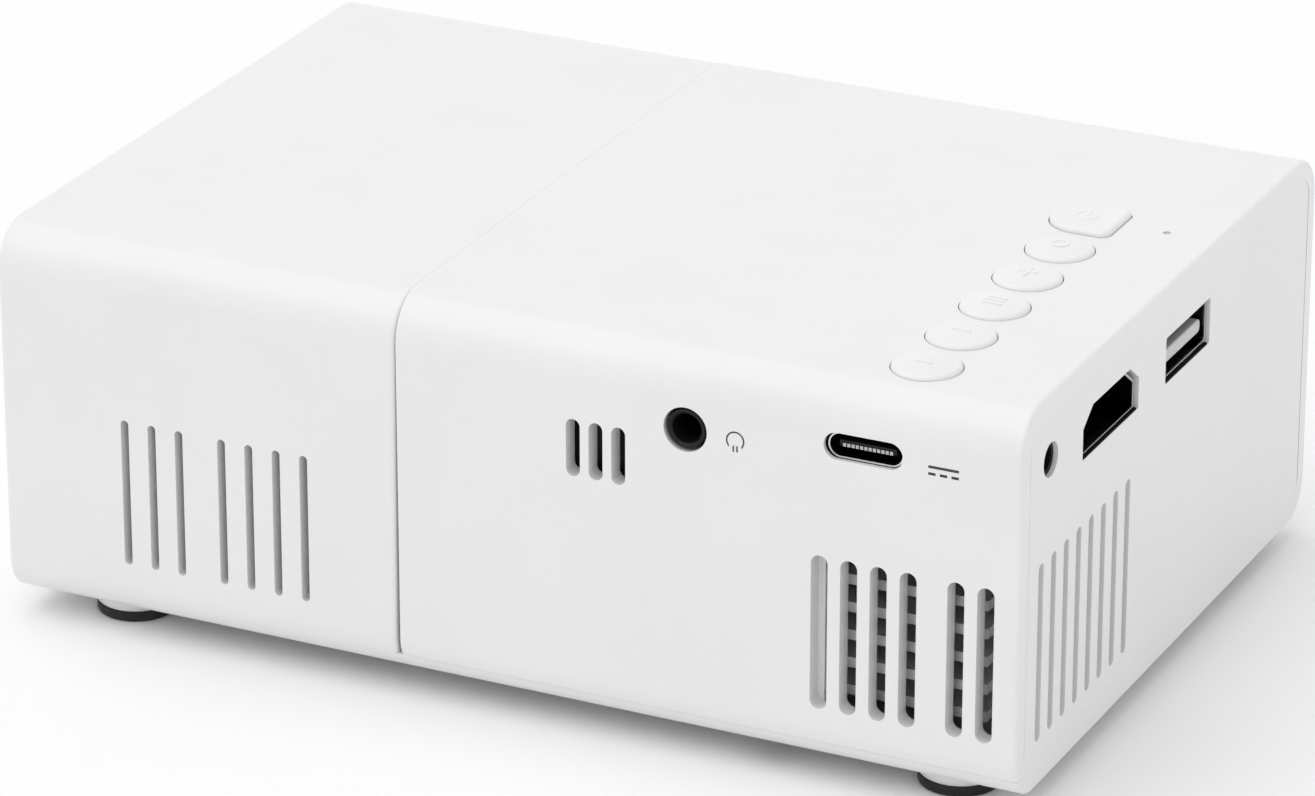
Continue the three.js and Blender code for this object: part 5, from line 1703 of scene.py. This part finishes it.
        shell = self.sheet_shell(Axis.X, self.data_outline, mouth, back, 0.0, self.shell_wall)
        finish_piece(shell, "socket_data_shell", NICKEL, Body.CASING, ["data_shell"],
                     Softening(0.08, 2))
        y, z = self.data_centre
        plan = self.data_tongue
        blade = rounded_outline((y, z - self.data_tongue_low), (2 * plan.half_width, 2 * plan.half_height),
                                0.6, 5)
        tongue = Form.prism(Axis.X, blade, root, plan.tip).united(
            Form.prism(Axis.X, self.data_outline(plan.block_inset), root, plan.block_face))
        finish_piece(tongue, "socket_data_tongue", GREY, Body.CASING, ["data_tongue"],
                     Softening(0.15, 2))
        finish_piece(self.data_contacts.strips(self.data_centre), "socket_data_contacts", GOLD,
                     Body.CASING, (), None)
        finish_piece(self.video_jack.form(), "socket_round_end", BLACK, Body.CASING, ["av_jack"],
                     Softening(0.1, 2))

    def build_rear(self) -> None:
        """Builds the sockets in the rear."""
        mouth, back = self.charge_ends
        root = back - self.shell_wall
        shell = self.sheet_shell(Axis.Y, self.charge_outline, mouth, back, 0.0, self.charge_wall)
        finish_piece(shell, "socket_small_shell", NICKEL_SHORT, Body.CASING, ["charge_shell"],
                     Softening(0.08, 2))
        x, z = self.charge_centre
        plan = self.charge_tongue
        tongue = Form.block((x - plan.half_width, plan.tip, z - plan.half_height),
                            (x + plan.half_width, root, z + plan.half_height)).united(
            Form.prism(Axis.Y, self.charge_outline(plan.block_inset), plan.block_face, root))
        finish_piece(tongue, "socket_small_tongue", BLACK, Body.CASING, ["charge_tongue"],
                     Softening(0.12, 2))
        finish_piece(self.charge_contacts.strips(self.charge_centre), "socket_small_contacts", TIN,
                     Body.CASING, (), None)
        finish_piece(self.headphone_jack.form(), "socket_round_rear", BLACK, Body.CASING,
                     ["headphone_jack"], Softening(0.1, 2))

    def build_gap_shade(self) -> None:
        """Builds dark pieces of painted shade between the shells and the edges of their openings."""
        back, mouth = self.gap_shade_ends
        foot, head = self.gap_shade_heights
        bands = ((self.video_centre, self.video_hole[1] / 2, self.video_gap_shade),
                 (self.data_centre, self.data_shell[1] / 2 + self.data_gap, self.data_gap_shade))
        gap_shades = []
        for (y, z), half, (left, right) in bands:
            low = z - half
            gap_shades.append(Form.block((back, y + left, low + foot), (mouth, y + right, low + head)))
        ring = Form.prism(Axis.Y, self.charge_outline(-self.charge_gap_shade), *self.charge_gap_shade_ends).cut(
            Form.prism(Axis.Y, self.charge_outline(-0.01), -46.0, -43.0))
        # One piece of painted shade for all the gaps
        finish_piece(Form().beside(*gap_shades, ring), "socket_gap_shade", GAP_SHADE, Body.CASING, (), None)

    def build(self) -> None:
        """Builds every socket."""
        self.build_end()
        self.build_rear()
        self.build_gap_shade()


@dataclass
class LensGroup:
    """The focus ring, the barrel inside it and its two glasses."""

    centre: Point = (-38.0, 23.4)
    ring_ends: Point = (33.5, 45.5)
    ring_radius: float = 15.5
    bore: float = 13.3
    collar: tuple[float, float, float] = (16.9, 38.1, 39.9)
    grip_low: float = 42.6
    grip_set: float = 0.7
    grooves: int = 60
    groove_width: float = 0.1
    groove_depth: float = 0.3
    barrel_radii: Point = (11.6, 12.9)
    barrel_ends: Point = (13.5, 39.5)
    barrel_edge: float = 0.3
    light_steps: int = 4
    glass_radius: float = 11.4
    glass_share: float = 0.35
    front_glass: Point = (33.5, 38.0)
    rear_glass: Point = (15.0, 19.0)

    def ring(self) -> Form:
        """The grip ring with fine grooves round it, a collar behind the cover and a flared mouth.

        Returns:
            The finished form.
        """
        low, high = self.ring_ends
        radius, (collar, collar_low, collar_high) = self.ring_radius, self.collar
        profile = [(self.bore, low), (radius, low), (radius, collar_low), (collar, collar_low),
                   (collar, collar_high), (radius, collar_high), (radius, self.grip_low),
                   (radius, high - self.grip_set),
                   *edge_arc(radius, high, 0.5, 4), (radius - 1.1, high), (self.bore + 0.8, high - 0.5),
                   (self.bore + 0.35, high - 1.2), (self.bore, high - 1.6)]
        form = Form.lathe(Axis.Y, self.centre, profile, 3 * self.grooves)
        middle = (self.grip_low + high - self.grip_set) / 2
        grip = [face for face in form.mesh.faces
                if abs(face.calc_center_median().y - middle) < 1e-3
                and self.distance(face.calc_center_median()) > radius - 0.1]
        grip.sort(key=lambda face: self.angle(face.calc_center_median()))
        bmesh.ops.inset_individual(form.mesh, faces=grip[::3], thickness=self.groove_width,
                                   depth=-self.groove_depth, use_even_offset=True)
        return form

    def distance(self, spot: Vector) -> float:
        """How far a point is from the lens axis."""
        return math.hypot(spot.x - self.centre[0], spot.z - self.centre[1])

    def angle(self, spot: Vector) -> float:
        """The angle of a point about the lens axis."""
        return math.atan2(spot.z - self.centre[1], spot.x - self.centre[0])

    def barrel(self) -> Form:
        """The barrel, with fine steps inside its mouth that swallow stray light.

        Returns:
            The finished form.
        """
        (bore, radius), (rear, front) = self.barrel_radii, self.barrel_ends
        shoulder = front - self.barrel_edge
        steps = []
        for number in range(self.light_steps):
            inner, narrower = shoulder - 0.3 * number, 0.12 * number
            steps += [(12.3 - narrower, inner), (12.05 - narrower, inner - 0.1)]
        profile = [(bore, rear), (radius, rear), (radius, shoulder), (radius - 0.15, front),
                   (radius - 0.45, front), *steps, (bore, front - 1.45)]
        return Form.lathe(Axis.Y, self.centre, profile, 96)

    def glass(self, rear: float, front: float) -> Form:
        """A polished lens that bulges on both faces.

        Args:
            rear: The place of its rear pole.
            front: The place of its front pole.

        Returns:
            The lens.
        """
        radius = self.glass_radius
        bulge = (front - rear) * (1 - self.glass_share) / 2
        shares = [step / 12 for step in range(1, 13)]
        back = [(radius * part, rear + bulge * part * part) for part in shares]
        face = [(radius * part, front - bulge * part * part) for part in reversed(shares)]
        return Form.lathe(Axis.Y, self.centre, [(0, rear), *back, *face, (0, front)], 96)

    def build(self) -> None:
        """Builds the ring, the barrel and the glasses."""
        finish_piece(self.ring(), "grip_ring", RING, Body.FOCUS, ["focus_ring"], None)
        finish_piece(self.barrel(), "barrel_tube", BLACK, Body.BARREL, ["lens_barrel"], None)
        for side, ends in (("front", self.front_glass), ("rear", self.rear_glass)):
            finish_piece(self.glass(*ends), f"glass_{side}", LENS_GLASS, Body.BARREL,
                         [f"lens_glass_{side}"], None)


@dataclass
class Marks:
    """The generic printed signs beside the rear sockets."""

    rear: float = -45.48
    ink: float = 0.02
    sunk: float = 0.05
    stroke_width: float = 0.3
    current_place: Point = (53.9, 40.7)
    headphones_place: Point = (29.4, 39.7)

    def stroke(self, centre: Point, size: Point) -> Form:
        """A level stroke of ink on the rear face."""
        return Form.block((centre[0] - size[0] / 2, self.rear - self.ink, centre[1] - size[1] / 2),
                          (centre[0] + size[0] / 2, self.rear + self.sunk, centre[1] + size[1] / 2))

    def direct_current(self, centre: Point) -> Form:
        """A solid bar over three dashes, the common sign for direct current.

        Args:
            centre: Its centre on the rear face.

        Returns:
            The ink.
        """
        dashes = [self.stroke((centre[0] + 1.35 * side, centre[1] - 0.45), (0.85, self.stroke_width))
                  for side in (-1, 0, 1)]
        return Form().beside(
            self.stroke((centre[0], centre[1] + 0.35), (3.55, self.stroke_width)), *dashes)

    def headphones(self, centre: Point) -> Form:
        """A round band, open below, with two short legs in the opening.

        Args:
            centre: Its centre on the rear face.

        Returns:
            The ink.
        """
        x, z = centre
        span = (self.rear - self.ink, self.rear + self.sunk)
        band = Form.rod(Axis.Y, centre, 1.1, *span, steps=48).cut(
            Form.rod(Axis.Y, centre, 0.93, span[0] - OVERRUN, span[1] + OVERRUN, 48),
            Form.block((x - 0.75, span[0] - OVERRUN, z - 2), (x + 0.75, span[1] + OVERRUN, z)))
        legs = [self.stroke((x + 0.22 * side, z - 0.95), (0.17, 0.7)) for side in (-1, 1)]
        return band.beside(*legs)

    def build(self) -> None:
        """Builds both signs."""
        for name, sign in (("direct_current", self.direct_current(self.current_place)),
                           ("headphones", self.headphones(self.headphones_place))):
            finish_piece(sign, f"print_{name}", INK, Body.CASING, (), None)


@dataclass
class Leads:
    """The short inner leads and the panel's ribbon."""

    radius: float = 0.8
    ribbon_thickness: float = 0.3
    ribbon_bend: float = 1.4
    routes: dict[str, tuple[Spot, ...]] = field(default_factory=lambda: {
        "fan_lead": ((42.4, -3.1, 35.1), (42.4, -3.1, 36.6), (40.9, -0.1, 38.9), (40.9, 2.9, 41.2),
                     (40.9, 2.9, 42.7)),
        "led_lead": ((34.9, -20.0, 32.2), (34.9, -20.0, 35.2), (31.9, -17.0, 39.7), (31.9, -17.0, 42.7)),
        "speaker_lead": ((9.06, -39.3, 39.7), (9.06, -38.9, 41.2), (9.06, -38.5, 42.7)),
    })

    def lead(self, route: Sequence[Spot]) -> Form:
        """A round lead along a smooth curve through its points.

        Args:
            route: The points.

        Returns:
            The lead as a closed tube.
        """
        curve = bpy.data.curves.new("route", "CURVE")
        curve.dimensions = "3D"
        curve.bevel_depth = self.radius
        curve.bevel_resolution = 4
        curve.resolution_u = 8
        curve.use_fill_caps = True
        spline = curve.splines.new("BEZIER")
        spline.bezier_points.add(len(route) - 1)
        for knot, spot in zip(spline.bezier_points, route):
            knot.co = spot
            knot.handle_left_type = knot.handle_right_type = "AUTO"
        holder = bpy.data.objects.new("route", curve)
        bpy.context.scene.collection.objects.link(holder)
        tube = bpy.data.meshes.new_from_object(
            holder.evaluated_get(bpy.context.evaluated_depsgraph_get()))
        form = Form()
        form.mesh.from_mesh(tube)
        bpy.data.meshes.remove(tube)
        bpy.data.objects.remove(holder)
        bpy.data.curves.remove(curve)
        bmesh.ops.remove_doubles(form.mesh, verts=form.mesh.verts, dist=CLOSE)
        return form.turned_to(Axis.Z)

    def ribbon(self) -> Form:
        """The flexible ribbon, up from the panel and over towards the board in one bend.

        Returns:
            The ribbon.
        """
        low, high = (Vector(corner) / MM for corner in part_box("lcd_ribbon"))
        thickness, bend = self.ribbon_thickness, self.ribbon_bend
        x = low.x + thickness / 2
        top = high.z - thickness / 2
        path = [(x, low.z), (x, top - bend)]
        path += [(x + bend - bend * math.cos(TURN / 4 * step / 6),
                  top - bend + bend * math.sin(TURN / 4 * step / 6)) for step in range(1, 7)]
        path.append((high.x, top))
        form = Form()
        start = [form.mesh.verts.new((path[0][0], side, path[0][1])) for side in (low.y, high.y)]
        edge = form.mesh.edges.new(start)
        for before, after in zip(path, path[1:]):
            grown = bmesh.ops.extrude_edge_only(form.mesh, edges=[edge])["geom"]
            edge = next(item for item in grown if isinstance(item, bmesh.types.BMEdge))
            bmesh.ops.translate(form.mesh, vec=(after[0] - before[0], 0, after[1] - before[1]),
                                verts=edge.verts)
        bmesh.ops.recalc_face_normals(form.mesh, faces=form.mesh.faces)
        bmesh.ops.solidify(form.mesh, geom=form.mesh.faces, thickness=thickness)
        bmesh.ops.recalc_face_normals(form.mesh, faces=form.mesh.faces)
        return form

    def build(self) -> None:
        """Builds the leads and the ribbon."""
        for name, route in self.routes.items():
            finish_piece(self.lead(route), f"{name}_sheath", SHEATH, Body.CASING, [name], None)
        finish_piece(self.ribbon(), "panel_ribbon", FILM, Body.CASING, ["lcd_ribbon"], None)


@dataclass
class InnerParts:
    """The parts inside whose CAD solids stay, each with the finish of the real one."""

    finishes: dict[Finish, tuple[str, ...]] = field(default_factory=lambda: {
        DOMES: ("switch_strip",),
        FROSTED: ("light_pipe",),
        CLEAR: ("fresnel_rear", "fresnel_front"),
        LAMP: ("status_led", "led_emitter"),
        BOARD: ("main_board", "led_board"),
        ZINC: ("board_screw_1", "board_screw_2", "speaker_magnet"),
        BLACK: ("main_chip", "inductor", "light_box", "lcd_frame", "mirror_holder", "lens_mount",
                "fan_frame", "fan_rotor", "speaker_basket", "speaker_cone"),
        ALUMINIUM: ("heat_sink", "capacitor"),
        LENS_GLASS: ("condenser_lens",),
        PANEL_GLASS: ("lcd_panel",),
        MIRROR: ("mirror",),
    })

    def build(self) -> None:
        """Gives each kept node its finish."""
        for finish, names in self.finishes.items():
            for name in names:
                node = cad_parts[name]
                for place in node.material_slots:
                    place.material = finish.material()
                log.info("%s: kept, finish %s", name, finish.name)


@dataclass
class Studio:
    """The floor, the light and the camera."""

    world_level: float = 0.78
    sun_level: float = 0.9
    sun_angle: float = 70.0
    sun_from: Spot = (-0.42, -0.3, 1.1)
    eye: Spot = (0.30775, -0.64296, 0.32773)
    forward: Spot = (-0.39861, 0.82792, -0.39452)
    focal_length: float = 182.3
    sensor_width: float = 36.0
    clip: Point = (0.01, 10.0)
    floor_reach: float = 3000.0
    floor_depth: float = 20.0

    def floor(self) -> None:
        """A plain white floor that keeps the object's shadow."""
        reach = self.floor_reach
        form = Form.block((-reach, -reach, -self.floor_depth), (reach, reach, 0))
        bmesh.ops.scale(form.mesh, vec=(MM, MM, MM), verts=form.mesh.verts)
        floor = form.as_object()
        floor.name = "studio_floor"
        paint = bpy.data.materials.new("Emulsion painted white floor")
        paint.use_nodes = True
        tree = paint.node_tree
        tree.nodes.clear()
        place = add_node(tree, "ShaderNodeTexCoord").outputs["Object"]
        mottle = add_node(tree, "ShaderNodeTexNoise", {"Scale": per_metre(30.0)}, {"Vector": place})
        rough = add_node(tree, "ShaderNodeMapRange", {"To Min": 0.75, "To Max": 0.85},
                         {"Value": mottle.outputs["Fac"]})
        matt = add_node(tree, "ShaderNodeBsdfPrincipled",
                        {"Base Color": to_linear("#fafafa"), "Specular IOR Level": 0.1},
                        {"Roughness": rough.outputs["Result"]})
        add_node(tree, "ShaderNodeOutputMaterial", links={"Surface": matt.outputs["BSDF"]})
        floor.data.materials.append(paint)

    def world(self) -> None:
        """An even white room: full white to the eye and in reflections, softer as light."""
        room = bpy.data.worlds.new("studio")
        bpy.context.scene.world = room
        room.use_nodes = True
        tree = room.node_tree
        tree.nodes.clear()
        path = add_node(tree, "ShaderNodeLightPath")
        seen = add_node(tree, "ShaderNodeMath", {"operation": "ADD"},
                        {0: path.outputs["Is Camera Ray"], 1: path.outputs["Is Glossy Ray"]})
        seen = add_node(tree, "ShaderNodeMath", {"operation": "ADD", "use_clamp": True},
                        {0: seen.outputs["Value"], 1: path.outputs["Is Transmission Ray"]})
        level = add_node(tree, "ShaderNodeMapRange", {"To Min": self.world_level, "To Max": 1.0},
                         {"Value": seen.outputs["Value"]})
        sky = add_node(tree, "ShaderNodeBackground", {"Color": (1.0, 1.0, 1.0, 1.0)},
                       {"Strength": level.outputs["Result"]})
        add_node(tree, "ShaderNodeOutputWorld", links={"Surface": sky.outputs["Background"]})

    def lamp(self) -> None:
        """One broad soft lamp from behind the camera's left shoulder."""
        light = bpy.data.lights.new("soft_lamp", "SUN")
        light.energy = self.sun_level
        light.angle = math.radians(self.sun_angle)
        holder = bpy.data.objects.new("soft_lamp", light)
        holder.rotation_euler = Vector(self.sun_from).to_track_quat("Z", "Y").to_euler()
        bpy.context.scene.collection.objects.link(holder)

    def camera(self) -> None:
        """The camera at the photograph's angle."""
        lens = bpy.data.cameras.new("eye")
        lens.sensor_fit = "HORIZONTAL"
        lens.sensor_width = self.sensor_width
        lens.lens = self.focal_length
        lens.clip_start, lens.clip_end = self.clip
        holder = bpy.data.objects.new("eye", lens)
        holder.location = self.eye
        holder.rotation_euler = Vector(self.forward).to_track_quat("-Z", "Y").to_euler()
        bpy.context.scene.collection.objects.link(holder)
        bpy.context.scene.camera = holder

    def build(self) -> None:
        """Sets up the studio."""
        bpy.context.scene.view_settings.view_transform = "Standard"
        self.camera()
        self.world()
        self.lamp()
        self.floor()


def main() -> None:
    """Builds every sub-assembly in order."""
    logging.basicConfig(level=logging.INFO, format="%(message)s")
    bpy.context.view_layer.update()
    for group in (Studio(), Casing(), Underside(), RoundButtons(), PowerButton(), Sockets(), LensGroup(),
                  Marks(), Leads(), InnerParts()):
        group.build()


if __name__ == "__main__":
    main()
